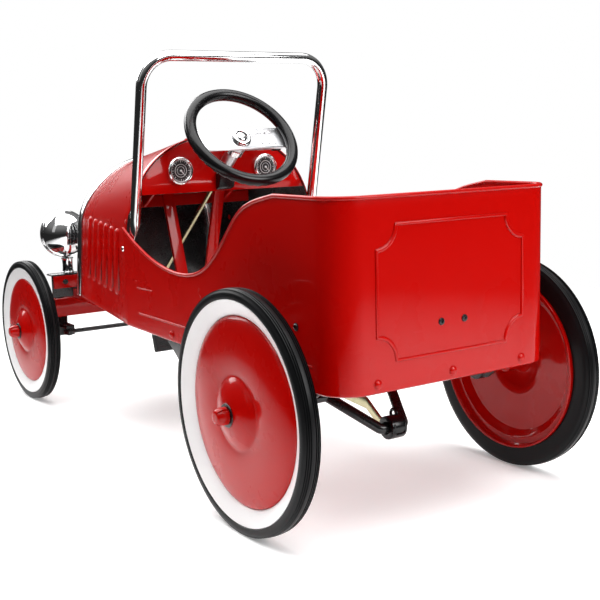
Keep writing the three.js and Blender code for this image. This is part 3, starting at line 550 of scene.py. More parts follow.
def sweepPoint(share):  # the doorway's smooth curve through its stations
    stations = tub["sweep"]
    walk = share * (len(stations) - 1)
    i = min(int(walk), len(stations) - 2)
    t = walk - i
    around = [stations[max(0, min(len(stations) - 1, k))] for k in (i - 1, i, i + 1, i + 2)]
    spot = []
    for axis in (0, 1):
        p0, p1, p2, p3 = [station[axis] for station in around]
        v0, v1 = (p2 - p0) / 2, (p3 - p1) / 2
        cube = 2 * p1 - 2 * p2 + v0 + v1
        square = -3 * p1 + 3 * p2 - 2 * v0 - v1
        spot.append(cube * t ** 3 + square * t ** 2 + v0 * t + p1)
    along = tubLow.y + spot[0] * tub["doorwayLength"]
    return along, min(tub["rimZ"], tub["sillZ"] + spot[1] * (tub["rimZ"] - tub["sillZ"]))


def tubPlan():  # the left half from the front edge to the middle of the tail: (x, y, top) stations
    stations = []
    for i in range(73):
        y, top = sweepPoint(i / 72)
        stations.append((tubHigh.x, y, top))
    cornerY = tubHigh.y - tub["cornerRadius"]
    for i in range(1, 6):
        stations.append((tubHigh.x, blendOf(stations[72][1], cornerY, i / 5), tub["rimZ"]))
    for i in range(1, tub["cornerSteps"] + 1):
        turn = i / tub["cornerSteps"] * math.pi / 2
        stations.append((tubHigh.x - tub["cornerRadius"] * (1 - math.cos(turn)),
                         cornerY + tub["cornerRadius"] * math.sin(turn), tub["rimZ"]))
    for i in range(1, 9):
        stations.append(((tubHigh.x - tub["cornerRadius"]) * (1 - i / 8), tubHigh.y, tub["rimZ"]))
    return stations


def blendOf(first, last, share):
    return first + (last - first) * share


def sheet(name, columns, rows, at):  # a grid whose corners take their places from at(column, row)
    piece = startPiece("grid", name, x_subdivisions=columns, y_subdivisions=rows, size=1)
    for corner in piece.data.vertices:
        column = round((corner.co.x + 0.5) * columns)
        row = round((corner.co.y + 0.5) * rows)
        corner.co = at(column, row)
    editAll(piece)
    bpy.ops.mesh.normals_make_consistent(inside=False)
    leaveEdit()
    return piece


def facesOut(piece):  # turns an open sheet's faces away from the car's middle plane
    outward = sum(face.normal.x * face.center.x for face in piece.data.polygons)
    if outward < 0:
        editAll(piece)
        bpy.ops.mesh.flip_normals()
        leaveEdit()
    return piece


def tubBottom(y):
    return blendOf(tub["frontBottomZ"], tub["rearBottomZ"], (y - tubLow.y) / (tubHigh.y - tubLow.y))


def makeTub():
    half = tubPlan()
    plan = half + [(-x, y, top) for x, y, top in reversed(half[:-1])]
    last = len(plan) - 1
    rows = tub["rows"]

    def at(column, row):
        x, y, top = plan[column]
        bottom = tubBottom(y)
        if row == 0:
            inX = tub["foldIn"] * x / tubHigh.x
            inY = tub["foldIn"] if y > tubHigh.y - tub["cornerRadius"] * 0.5 else 0
            return (x - inX, y - inY, bottom)
        if row == 1:
            return (x, y, bottom + tub["foldHeight"] * 0.45)
        return (x, y, blendOf(bottom + tub["foldHeight"], top, (row - 2) / (rows - 2)))

    skin = facesOut(sheet("tub_skin", last, rows, at))
    useModifier(skin, "SOLIDIFY", thickness=tub["wall"] * mm, offset=-1)
    softenEdges(skin, 0.4, 2, 50)
    finishPiece(smooth(skin, 40), "paint", "body", "tub_shell")
    inset = (tub["rim"] - 1.7) * mm
    chain = []
    for x, y, top in plan:
        chain.append((x - inset * x / tubHigh.x, y - (inset if y > tubHigh.y - 0.02 else 0), top - 0.0017))
    finishPiece(tube("tub_rolled_edge", chain, tub["rim"], 5), "paint", "body")
    return skin


tubSkin = makeTub()
print("tub ready")

# hood: arched sections from the square-shouldered dash end to the narrower nose
hood = {
    "wall": 1.6, "edgeRadius": 0.8, "louvres": 6, "firstTopY": -0.0600, "topPitch": 0.02838,
    "firstBottomY": -0.0682, "bottomPitch": 0.0275, "louvreLowZ": 0.2000, "louvreHighZ": 0.2915,
    "louvreRisePerStep": 0.0014, "louvreWidth": 7.0, "louvreDepth": 3.8, "slotWidth": 1.5, "columns": 72,
    "rows": 16, "shadeLiningGap": 2.2,
    "dash": {"halfWidth": 0.1479, "spring": 0.264, "rise": 0.151, "square": 2.35, "foot": 0.163},
    "nose": {"halfWidth": 0.1135, "spring": 0.2835, "rise": 0.098, "square": 1.64, "foot": 0.175},
    "flare": 0.074, "notchZ": 0.312, "seam": 0.0003,
}
hoodLow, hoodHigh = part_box("hood_shell")
hoodRearLength = hoodHigh.y - hoodLow.y


def hoodPoint(share, walk):  # walk runs 0 to 1 from the left foot over the crown to the right foot
    size = {key: blendOf(hood["dash"][key], hood["nose"][key], share) for key in hood["dash"]}
    footPart = 0.2
    if footPart <= walk <= 1 - footPart:
        turn = (walk - footPart) / (1 - 2 * footPart) * math.pi
        across, up = math.cos(turn), math.sin(turn)
        power = 2 / size["square"]
        x = size["halfWidth"] * math.copysign(abs(across) ** power, across)
        return x, size["spring"] + size["rise"] * max(0.0, up) ** power
    side = 1 if walk < footPart else -1
    drop = 1 - (walk if side > 0 else 1 - walk) / footPart
    fall = (size["spring"] - size["foot"]) * drop
    return side * (size["halfWidth"] + hood["flare"] * share * fall), size["spring"] - fall


def makeHood():
    def at(column, row):
        walk = column / hood["columns"]
        rearX, rearZ = hoodPoint(0, walk)
        rearY = hoodHigh.y if rearZ > hood["notchZ"] else tubLow.y - hood["seam"]
        y = blendOf(rearY, hoodLow.y, row / hood["rows"])
        share = (hoodHigh.y - y) / hoodRearLength
        x, z = hoodPoint(share, walk)
        return (x, y, z)

    skin = facesOut(sheet("hood_skin", hood["columns"], hood["rows"], at))
    # a black inner skin just inside the red one is painted shade inside the hood
    shadeLining = copyOf(skin, "hood_lining")
    useModifier(skin, "SOLIDIFY", thickness=hood["wall"] * mm, offset=-1)
    softenEdges(skin, 0.4, 2, 50)
    finishPiece(smooth(skin, 40), "paint", "body", "hood_shell")
    useModifier(shadeLining, "DISPLACE", strength=-hood["shadeLiningGap"] * mm, mid_level=0)
    useModifier(shadeLining, "SOLIDIFY", thickness=0.0004, offset=-1)
    finishPiece(smooth(shadeLining, 40), "steel", "body")
    front = []
    for column in range(hood["columns"] + 1):
        x, z = hoodPoint(1, column / hood["columns"])
        front.append((x, hoodLow.y + 0.0006, z))
    finishPiece(tube("hood_edge_line", front, hood["edgeRadius"], 3), "tread", "body")
    return skin


hoodSkin = makeHood()


def capsule(name, length, width, depth, segments=16):
    piece = startPiece("uv_sphere", name, segments=segments, ring_count=10, radius=width * mm)
    for isTop in (True, False):
        selectPart(piece, "VERT", lambda corner: (corner.co.z > 1e-5) == isTop and abs(corner.co.z) > 1e-5)
        bpy.ops.transform.translate(value=(0, 0, length / 2 if isTop else -length / 2))
        leaveEdit()
    editAll(piece)
    bpy.ops.transform.resize(value=(depth / width, 1, 1), center_override=(0, 0, 0))
    leaveEdit()
    return smooth(piece, 60)


def addLouvres(side, word):
    ribs, shadowSlots = [], []
    for i in range(hood["louvres"]):
        rise = i * hood["louvreRisePerStep"]
        lowStart = (side * 0.3, hood["firstBottomY"] - i * hood["bottomPitch"], hood["louvreLowZ"] + rise)
        highStart = (side * 0.3, hood["firstTopY"] - i * hood["topPitch"], hood["louvreHighZ"] + rise)
        lowSpot, lowNormal = hitOn(hoodSkin, lowStart, (-side, 0, 0))
        highSpot, highNormal = hitOn(hoodSkin, highStart, (-side, 0, 0))
        length = (highSpot - lowSpot).length - 2 * hood["louvreWidth"] * mm
        outward = (lowNormal + highNormal).normalized()
        middle = (lowSpot + highSpot) / 2
        along = (highSpot - lowSpot).normalized()
        rib = capsule("rib", length, hood["louvreWidth"], hood["louvreDepth"])
        selectPart(rib, "VERT", lambda corner: corner.co.x < 0)
        bpy.ops.transform.resize(value=(0.3, 1, 1), center_override=(0, 0, 0))  # the back stays in the wall
        leaveEdit()
        ribs.append(place(rib, middle, along, outward))
        # a thin black capsule behind each rib is painted shadow in the louvre's opening
        slot = capsule("slot", length * 0.97, hood["slotWidth"], 0.7, 8)
        behind = outward.cross(along)
        behind = behind if behind.y > 0 else -behind
        shadowSlots.append(place(slot, middle + behind * hood["louvreWidth"] * mm, along, outward))
    finishGroup("hood_louvres_" + word, ribs, "paint", "body")
    finishGroup("louvre_slots_" + word, shadowSlots, "steel", "body")


for side, word in ((1, "left"), (-1, "right")):
    addLouvres(side, word)
print("hood ready")

# pressed lines in the tub, as shallow beads that stand on the skin
pressing = {
    "rearHalfLine": 0.075, "rearHalfWidth": 0.0996, "rearTopZ": 0.3236, "rearBottomZ": 0.1863,
    "rearSideTopZ": 0.2986, "rearSideBottomZ": 0.2121, "beadRadius": 2.4, "stand": 1.5, "sideCreaseZ": 0.1855,
}


def pressedFrame():
    line, half, y = pressing["rearHalfLine"], pressing["rearHalfWidth"], tubHigh.y
    top, bottom = pressing["rearTopZ"], pressing["rearBottomZ"]
    sideTop, sideBottom = pressing["rearSideTopZ"], pressing["rearSideBottomZ"]
    route = []
    scoops = [
        ((half, top), (half, sideTop), (line, top)),
        ((-half, top), (-line, top), (-half, sideTop)),
        ((-half, bottom), (-half, sideBottom), (-line, bottom)),
        ((half, bottom), (line, bottom), (half, sideBottom)),
    ]
    for corner, start, end in scoops:
        first = Vector(start) - Vector(corner)
        last = Vector(end) - Vector(corner)
        for i in range(13):
            turn = i / 12 * math.pi / 2
            spot = Vector(corner) + first * math.cos(turn) + last * math.sin(turn)
            route.append((spot.x, y, spot.y))
    return tube("rear_panel_frame", route, pressing["beadRadius"], 4, closed=True)


def flattenBead(piece, axis, level, share):
    editAll(piece)
    value = [1, 1, 1]
    value[axis] = share
    centre = [0, 0, 0]
    centre[axis] = level
    bpy.ops.transform.resize(value=value, center_override=centre)
    leaveEdit()
    return smooth(piece, 60)


frameBead = flattenBead(pressedFrame(), 1, tubHigh.y, pressing["stand"] / pressing["beadRadius"])
finishPiece(frameBead, "paint", "body")
for side, word in ((1, "left"), (-1, "right")):
    x = side * tubHigh.x
    z = pressing["sideCreaseZ"]
    crease = tube("side_crease_" + word, [(x, 0.016, z), (x, 0.415, z - 0.003)], 1.3, 3)
    finishPiece(flattenBead(crease, 0, x, 0.45), "paint", "body")
    short = tube("side_mark_" + word, [(x, 0.0137, 0.2189), (x, 0.0578, 0.2198)], 0.8, 3)
    hookRoute = []
    for i in range(7):
        walk = i / 6
        hookRoute.append((x, 0.1835 - 0.004 * math.sin(walk * math.pi) + 0.004 * walk,
                          0.2368 - 0.0107 * walk))
    hook = tube("hook", hookRoute, 0.8, 3)
    dot = startPiece("uv_sphere", "dot", segments=12, ring_count=8, radius=0.0012,
                     location=(x, 0.0117, 0.2279))
    marks = joined("side_marks_" + word, [short, hook, dot])
    finishPiece(flattenBead(marks, 0, x, 0.5), "paint", "body")
print("pressed lines ready")

# fasteners: modelled once at the origin and copied out to their places
def domeHead(name, radius, height, collar=0.0):
    profile = [(0, -1.0), (radius + collar, -1.0), (radius + collar, 0.35), (radius, 0.5)]
    for i in range(1, 7):
        turn = i / 6 * math.pi / 2
        profile.append((radius * math.cos(turn), 0.5 + (height - 0.5) * math.sin(turn)))
    return turned(name, profile, 20)


def crossHead(name, radius, height):
    head = domeHead(name, radius, height, 0.9)
    for turn in (0.3, 0.3 + math.pi / 2):
        blade = startPiece("cube", "blade", size=1)
        blade.scale = (radius * 1.25 * mm, radius * 0.26 * mm, height * mm)
        blade.rotation_euler = (0, 0, turn)
        blade.location = (0, 0, height * mm)
        settle(blade)
        useModifier(head, "BOOLEAN", operation="DIFFERENCE", object=blade, solver="EXACT")
        bpy.data.objects.remove(blade)
    return smooth(head, 30)


def hexHead(name, across, height):
    head = startPiece("cylinder", name, vertices=6, radius=across / math.sqrt(3) * mm, depth=height * mm,
                      location=(0, 0, height / 2 * mm))
    softenEdges(head, 0.5, 2)
    washer = turned("washer", [(0, -0.8), (across * 0.72, -0.8), (across * 0.72, 0.3),
                               (across * 0.66, 0.6), (0, 0.6)], 24)
    return smooth(joined(name, [head, washer]), 30)


masters = {
    "rivet": domeHead("master_rivet", 4.6, 2.9, 0.9),
    "smallRivet": domeHead("master_small_rivet", 2.4, 1.5, 0.4),
    "screw": crossHead("master_screw", 3.6, 2.4),
    "plug": turned("master_plug", [(0, -1), (4.0, -1), (4.0, 0.3), (3.4, 1.3), (1.8, 1.5), (1.4, 0.3),
                                   (0, 0.3)], 20),
    "acorn": joined("master_acorn", [hexHead("nut", 8.5, 4.0), turned(
        "cap", [(0, 3), (3.7, 3), (3.6, 5.2), (2.9, 7.2), (1.5, 8.4), (0, 8.7)], 20)]),
}


def fasten(name, kind, look, body, spots):  # spots are (place, outward direction) pairs
    pieces = []
    for at, outward in spots:
        pieces.append(place(copyOf(masters[kind], "fastener"), at, outward, (0.3, 0.5, 0.8)))
    return finishPiece(smooth(joined(name, pieces), 32), look, body)


def onTub(start, heading):
    return hitOn(tubSkin, start, heading)


trim = {
    "rearRivetX": (-0.0994, 0.0, 0.0994), "rearRivetZ": 0.1645, "plugX": (-0.0159, 0.0159), "plugZ": 0.2187,
    "sideRivetY": (0.1084, 0.27, 0.40), "sideRivetZ": 0.1712, "sideScrew": (0.3872, 0.2197),
    "hoodScrew": (-0.0336, 0.266), "hoodRedScrew": (-0.025, 0.3028), "hoodTopX": (-0.05, 0.05),
    "hoodTopY": -0.022, "clearX": 0.3, "clearFar": 0.6,  # metres, and where each ray starts
}
fasten("rear_rivets", "rivet", "paint", "body",
       [onTub((x, trim["clearFar"], trim["rearRivetZ"]), (0, -1, 0)) for x in trim["rearRivetX"]])
fasten("rear_plugs", "plug", "steel", "body",
       [onTub((x, trim["clearFar"], trim["plugZ"]), (0, -1, 0)) for x in trim["plugX"]])
for side, word in ((1, "left"), (-1, "right")):
    clear, inward = side * trim["clearX"], (-side, 0, 0)
    fasten("side_rivets_" + word, "rivet", "paint", "body",
           [onTub((clear, y, trim["sideRivetZ"]), inward) for y in trim["sideRivetY"]])
    fasten("side_screw_" + word, "screw", "steel", "body", [onTub((clear, *trim["sideScrew"]), inward)])
    fasten("hood_screw_" + word, "screw", "chrome", "body",
           [hitOn(hoodSkin, (clear, *trim["hoodScrew"]), inward)])
    fasten("hood_red_screw_" + word, "smallRivet", "paint", "body",
           [hitOn(hoodSkin, (clear, *trim["hoodRedScrew"]), inward)])
fasten("hood_top_rivets", "smallRivet", "paint", "body",
       [hitOn(hoodSkin, (x, trim["hoodTopY"], trim["clearFar"]), (0, 0, -1)) for x in trim["hoodTopX"]])
print("fasteners ready")

# windscreen hoop
hoop = {"tube": 7.0, "rake": 12.0, "bend": 0.040, "baseZ": 0.308, "baseY": -0.003, "topZ": 0.514}
hoopLow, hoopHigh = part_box("windscreen_hoop")


def makeHoop():
    halfSpan = tubHigh.x - 0.0035 - hoop["tube"] * mm
    rise = (hoop["topZ"] - hoop["baseZ"]) / math.cos(math.radians(hoop["rake"]))
    lean = Vector((0, math.sin(math.radians(hoop["rake"])), math.cos(math.radians(hoop["rake"]))))
    base = Vector((0, hoop["baseY"], hoop["baseZ"]))
    corners = [(halfSpan, 0), (halfSpan, rise), (-halfSpan, rise), (-halfSpan, 0)]
    route = roundedRoute([base + Vector((x, 0, 0)) + lean * up for x, up in corners], hoop["bend"], 16)
    bar = tube("windscreen_bar", route, hoop["tube"], 8, caps=False)
    feet = []
    for side in (1, -1):
        foot = startPiece("cylinder", "foot", vertices=36, radius=hoop["tube"] * mm, depth=0.002,
                          end_fill_type="NOTHING")
        stages = [(6, 0.96, 1.0, 0.2), (6, 0.86, 1.04, 0.8), (6, 0.72, 1.07, 1.5), (6, 0.66, 1.06, 1.7),
                  (5, 0.82, 1.02, 1.0), (6, 1.0, 1.0, 0.2), (10, 1.0, 1.0, 0), (4, 1.0, 0.9, 0),
                  (2.5, 0.9, 0.7, 0)]
        selectPart(foot, "VERT", lambda corner: corner.co.z < 0)
        bpy.ops.mesh.select_mode(type="EDGE")
        low = -0.001
        shift = 0.0
        for drop, thinner, wider, outward in stages:
            offset = (side * outward * mm, 0, -drop * mm)
            bpy.ops.mesh.extrude_edges_move(TRANSFORM_OT_translate={"value": offset})
            low -= drop * mm
            shift += side * outward * mm
            bpy.ops.transform.resize(value=(thinner, wider, 1), center_override=(shift, 0, low))
        bpy.ops.mesh.edge_face_add()
        leaveEdit()
        makeClean(foot)
        feet.append(place(foot, base + Vector((side * halfSpan, 0, 0)), lean))
    whole = joined("windscreen_bar", [bar, *feet])
    finishPiece(smooth(whole, 50), "chrome", "body", "windscreen_hoop")
    spots = []
    for side in (1, -1):
        spots.append((base + Vector((side * (halfSpan + 0.0036), 0, 0)) - lean * 0.041, (-side, 0, 0)))
    fasten("hoop_nuts", "acorn", "chrome", "body", spots)


makeHoop()
print("windscreen ready")

# wheels: tyre, white band, disc, washer and cap are each spun about the axle
wheelSizes = {
    "rear": {"radius": 130, "width": 21, "ringOuter": 119, "ringInner": 101.3, "recess": 10, "dome": 38,
             "hubRise": 8.5, "capTip": 23, "axle": 6},
    "front": {"radius": 111, "width": 20, "ringOuter": 100, "ringInner": 82, "recess": 5, "dome": 33,
              "hubRise": 9, "capTip": 24, "axle": 6},
}


def tyreProfile(size):
    radius, width, seat = size["radius"], size["width"], size["ringInner"] + 5.4
    drop = (size["ringOuter"] - seat) * (size["recess"] - 0.8)
    behind = -0.8 - drop / (size["ringOuter"] - size["ringInner"]) - 2.4
    lip = size["ringOuter"] + 0.3
    face = [(lip, -3.2), (lip, -1.0), (lip + 0.5, -0.3), (lip + 2, 0), (radius - 5.5, -0.2),
            (radius - 3.4, -0.9), (radius - 2.2, -1.9)]
    tread = []
    for centre in (2.9, 5.2, 7.5):  # fine grooves along the outer shoulder
        level = radius - 1.4 + centre * 0.16
        tread += [(level, -centre + 0.75), (level - 1.3, -centre + 0.15), (level - 1.3, -centre - 0.15),
                  (level, -centre - 0.75)]
    crown = [(radius - 0.1, -8.9), (radius, -width / 2), (radius - 0.1, -width + 8.9)]
    inner = [(r, -width - h) for r, h in reversed(tread)]
    back = [(radius - 2.2, -width + 1.9), (radius - 3.4, -width + 0.9), (radius - 5.5, -width + 0.2),
            (lip + 2, -width), (seat + 4, -width), (seat, -width + 0.6), (seat, behind)]
    return face + tread + crown + inner + back + [(lip, behind if behind < -3.2 else -3.4)]


def ringProfile(size):
    outer, inner, recess = size["ringOuter"], size["ringInner"] + 0.3, size["recess"]
    front = [(outer, -2.6), (outer, -1.2), (outer - 0.5, -0.85)]
    for share in (0.2, 0.4, 0.6, 0.8, 0.95):
        bulge = math.sin(share * math.pi) * 0.45
        front.append((blendOf(outer, inner, share), blendOf(-0.85, -recess, share) + bulge))
    return front + [(inner, -recess - 0.4), (inner, -recess - 2.0)]


def discProfile(size):
    ring, recess, dome, hub = size["ringInner"], size["recess"], size["dome"], size["hubRise"]
    bore = size["axle"] + 0.3
    width = size["width"]
    outside = [(bore, hub), (11, hub)]
    for share, height in ((0.08, 0.97), (0.25, 0.86), (0.45, 0.66), (0.65, 0.42), (0.82, 0.17),
                          (0.93, -0.05)):
        outside.append((blendOf(12, dome, share), hub * height))
    outside += [(dome, -0.20 * recess - 0.5), (dome + 1.6, -0.22 * recess - 0.8),
                (dome + 3.4, -0.22 * recess - 0.5)]
    for share, height in ((0.12, 0.20), (0.3, 0.19), (0.5, 0.24), (0.7, 0.38), (0.85, 0.56), (0.94, 0.74),
                          (0.985, 0.90)):
        outside.append((blendOf(dome + 3.4, ring, share), -recess * height))
    barrel = ring + 5
    slope = (recess - 0.8) / (size["ringOuter"] - ring)
    behind = -0.8 - (size["ringOuter"] - barrel) * slope - 2.4
    outside += [(ring, -recess - 0.6), (ring, -recess - 2.4), (barrel, behind)]
    inside = [(barrel, -width - 2.4), (barrel - 0.5, -width - 3), (barrel - 1.6, -width - 3),
              (barrel - 2.2, -width - 2.2), (barrel - 2.4, -recess - 7.5), (barrel - 4, -recess - 5.6),
              (ring - 6, -recess - 5.0), (ring - 7.5, -recess - 3.0), (ring - 12, -recess * 0.76 - 2.6)]
    for share in (0.75, 0.5, 0.25, 0.06):
        inside.append((blendOf(dome + 3.4, ring, share), -recess * blendOf(0.22, 0.7, share ** 1.4) - 2.2))
    inside += [(dome, -0.2 * recess - 2.4), (dome - 5, hub * 0.1 - 1.8),
               (blendOf(12, dome, 0.45), hub * 0.66 - 2.2), (17, hub * 0.78 - 2.6), (15.5, hub * 0.6 - 4),
               (13, hub * 0.3 - 5), (12, -width * 0.5), (12, -width - 3.6), (11.4, -width - 4),
               (bore, -width - 4)]
    return outside + inside


def capProfile(size):
    base, tip = size["hubRise"] + 1.4, size["capTip"]
    return [(0, base), (9.0, base), (9.5, base + 0.5), (9.5, tip - 6.6), (9.1, tip - 5.6), (7.7, tip - 1.9),
            (6.9, tip - 0.7), (5.6, tip - 0.1), (4, tip), (0, tip)]


def addWheel(word, side, axleName):
    size = wheelSizes[axleName]
    tyreNode = word + "_tyre"
    low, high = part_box(tyreNode)
    faceX = high.x if side > 0 else low.x
    centre = Vector((faceX, (low.y + high.y) / 2, (low.z + high.z) / 2))
    body = bodyOf(tyreNode)

    def fit(piece):
        return smooth(place(piece, centre, (side, 0, 0), (0, 0, -1)), 42)

    finishPiece(fit(turned(word + "_rubber", tyreProfile(size), 128)), "tyre", body, tyreNode)
    finishPiece(fit(turned(word + "_band", ringProfile(size), 128)), "white", body, word + "_white_ring")
    finishPiece(fit(turned(word + "_dish", discProfile(size), 96)), "paint", body, word + "_disc")
    rise = size["hubRise"]
    washer = turned(word + "_washer", [(6.4, rise + 0.15), (12.4, rise + 0.15), (12.6, rise + 0.5),
                                       (12.2, rise + 1.1), (9.8, rise + 1.25), (6.4, rise + 1.25)], 40)
    finishPiece(fit(washer), "steel", body)
    cap = turned(word + "_cap", capProfile(size), 36)
    selectPart(cap, "FACE", lambda face: abs(face.normal.z) < 0.6
               and math.hypot(face.center.x, face.center.y) > 0.007
               and face.center.z > (rise + 3) * mm
               and int((math.atan2(face.center.y, face.center.x) / (2 * math.pi) % 1) * 12) % 4 == 0)
    bpy.ops.mesh.inset(thickness=0.0004, depth=-0.0016)
    leaveEdit()
    finishPiece(fit(cap), "paint", body, word + "_hub_cap")


for side, word in ((1, "left"), (-1, "right")):
    for axleName in ("rear", "front"):
        addWheel(axleName + "_" + word, side, axleName)
print("wheels ready")

# headlamps
lamp = {"radius": 38, "depth": 34, "rim": 14, "lens": 35.7}


def addLamp(side, word):
    low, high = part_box(word + "_headlamp_bowl")
    centre = Vector(((low.x + high.x) / 2, high.y - lamp["depth"] * mm, (low.z + high.z) / 2))
    radius, depth, rim = lamp["radius"], lamp["depth"], lamp["rim"]
    outer = [(0, depth)]
    for i in range(1, 15):
        turn = i / 14 * math.pi / 2
        outer.append(((radius - 1.2) * math.sin(turn) ** 0.92, depth * math.cos(turn)))
    outer += [(radius - 1.2, -4.2), (radius - 0.3, -4.8), (radius, -5.8), (radius - 0.2, -7),
              (radius - 0.9, -7.6), (radius - 0.9, -9.6), (radius, -10.4), (radius, -13),
              (radius - 0.8, -rim), (radius - 2, -rim)]
    inner = [(radius - 2.2, -rim + 0.6), (radius - 2.2, -6)]
    for i in range(12, -1, -1):
        turn = i / 12 * math.pi / 2
        inner.append(((radius - 3.2) * math.sin(turn), (depth - 3) * math.cos(turn)))
    inner[-1] = (0, depth - 3)

    def fit(piece):
        return smooth(place(piece, centre, (0, 1, 0), (1, 0, 0)), 40)

    finishPiece(fit(turned(word + "_lamp_shell", outer + inner, 72)), "chrome", "body",
                word + "_headlamp_bowl")
    lens = [(0, -rim + 3.2), (lamp["lens"], -rim + 3.2), (lamp["lens"], -rim + 0.2)]
    for share in (0.95, 0.85, 0.7, 0.5, 0.3, 0.15):
        lens.append((lamp["lens"] * share, -rim - 7.8 * (1 - share ** 2) ** 0.8))
    lens.append((0, -rim - 7.9))
    finishPiece(fit(turned(word + "_lamp_lens", lens, 64)), "glass", "body", word + "_headlamp_lens")
    bulb = turned(word + "_lamp_bulb", [(0, 24), (5, 24), (5.4, 16), (4.4, 12), (6, 7), (5.6, 2.5),
                                        (3.4, 0), (0, -1)], 24)
    finishPiece(fit(bulb), "white", "body")
    postLow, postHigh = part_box(word + "_lamp_post")
    length = (postHigh.z - postLow.z) / mm
    post = turned(word + "_lamp_stem", [
        (0, 0), (9.5, 0), (9.5, 1.6), (8.8, 2.4), (8.2, 5), (7.9, length * 0.5), (8.2, length - 5),
        (8.9, length - 2.2), (9.5, length - 1.0), (9.3, length), (0, length)], 40)
    place(post, ((postLow.x + postHigh.x) / 2, (postLow.y + postHigh.y) / 2, postLow.z))
    finishPiece(smooth(post, 40), "chrome", "body", word + "_lamp_post")


for side, word in ((1, "left"), (-1, "right")):
    addLamp(side, word)
print("headlamps ready")

# steering wheel, hub, column, stalk
steeringJoint = joints["steering_turn"]
hubAt = Vector(steeringJoint["pos_m"])
columnUp = Vector(steeringJoint["axis"]).normalized()
wheelPlan = {"radius": 73, "tube": 8, "grips": 20}


def makeSteeringRim():
    rim = startPiece("torus", "steering_rim", major_radius=wheelPlan["radius"] * mm,
                     minor_radius=wheelPlan["tube"] * mm, major_segments=160, minor_segments=24)
    group = rim.vertex_groups.new(name="grips")
    for corner in rim.data.vertices:
        turn = math.atan2(corner.co.y, corner.co.x)
        isFarHalf = max(0.0, min(1.0, (math.sin(turn) - 0.05) * 4))
        below = max(0.0, -corner.co.z / (wheelPlan["tube"] * mm)) ** 1.5
        wave = (0.5 + 0.5 * math.cos(turn * wheelPlan["grips"] * 2)) ** 2
        group.add([corner.index], isFarHalf * below * wave, "REPLACE")
    useModifier(rim, "DISPLACE", strength=-0.0022, mid_level=0, vertex_group="grips")
    place(rim, hubAt, columnUp, (1, 0, 0))
    return finishPiece(smooth(rim, 60), "plastic", "steering", "steering_wheel_rim")


makeSteeringRim()
refinedPiece("steering_spoke_plate", "satin", 0.8, 3, 30)


def columnPoint(x, along, out):  # x across, along down the wheel's plane, out towards the driver, in mm
    down = Vector((1, 0, 0)).cross(columnUp) * -1
    return hubAt + Vector((x * mm, 0, 0)) + down * along * mm + columnUp * out * mm


def addSpokeSlots():
    pieces = []
    for side in (1, -1):
        for x in (27, 38, 49):
            for along in (-9, 9):
                slot = capsule("slot", 0.0055, 1.3, 0.5, 10)
                pieces.append(place(slot, columnPoint(side * x, along, -3.9), (1, 0, 0), columnUp))
    finishGroup("spoke_slots", pieces, "satin", "steering")
    rings = []
    for side in (1, -1):
        for along in (14.6, -14.6):
            edge = [columnPoint(side * 18, along, -4.0), columnPoint(side * 60, along, -4.0)]
            rings.append(tube("edge", edge, 0.7, 3))
    finishGroup("spoke_ribs", rings, "satin", "steering")


addSpokeSlots()
hubRing = turned("hub_ring", [(9.1, -2.2), (9.1, 0.4), (9.6, 1.1), (10.6, 1.3), (12.2, 0.9), (13.4, -0.4),
                              (13.8, -2.2), (13.8, -4.0), (9.1, -4.0)], 48)
finishPiece(smooth(place(hubRing, hubAt, columnUp, (1, 0, 0)), 40), "chrome", "steering")
hornLow = -3.7
horn = turned("horn_cap", [(0, hornLow), (8.3, hornLow), (8.5, hornLow + 0.4), (8.5, hornLow + 3.4),
                           (8.0, hornLow + 4.4), (6.6, hornLow + 5.6), (4.2, hornLow + 6.6),
                           (2, hornLow + 6.95), (0, hornLow + 7)], 48)
finishPiece(smooth(place(horn, hubAt, columnUp, (1, 0, 0)), 40), "chrome", "horn", "horn_button")


dashFaceY = -0.012


def makeColumn():
    top = -18.5
    low = (dashFaceY - hubAt.y) / columnUp.y / mm - 30
    sleeve = turned("column_tube", [(5.5, top), (9.0, top), (9.5, top - 0.6), (9.5, -30), (9.5, low + 1),
                                    (9.0, low), (5.5, low)], 48)
    finishPiece(smooth(place(sleeve, hubAt, columnUp, (1, 0, 0)), 40), "satin", "body", "column_sleeve")
    collar = turned("stalk_collar", [(9.8, -18.7), (12.2, -18.7), (13, -19.6), (13, -28.3), (12.2, -29.3),
                                     (9.8, -29.3)], 48)
    place(collar, hubAt, columnUp, (1, 0, 0))
    arm = turned("arm", [(0, 10.2), (4.4, 10.2), (4.4, 14), (3.7, 17), (3.6, 40), (3.7, 57.4), (3.2, 58),
                         (0, 58)], 28)
    place(arm, columnPoint(0, 0, -24), (-1, 0, 0), columnUp)
    finishPiece(smooth(joined("stalk_arm", [collar, arm]), 40), "chrome", "stalk", "column_stalk")
    ribs = [(0, 58.3), (4.6, 58.3)]
    for i in range(5):
        start = 59 + i * 2.3
        ribs += [(5.5, start), (5.5, start + 1.3), (4.9, start + 1.6), (4.9, start + 2.0)]
    ribs += [(5.0, 70.8), (3.4, 71.3), (0, 71.3)]
    knob = turned("stalk_grip", ribs, 28)
    finishPiece(smooth(place(knob, columnPoint(0, 0, -24), (-1, 0, 0), columnUp), 30), "plastic", "stalk",
                "stalk_knob")


makeColumn()
print("steering ready")

# gauges: bezel, dial, ticks and needle
gauge = {"radius": 19, "depth": 6, "ticks": 24, "needleTurn": 2.3}


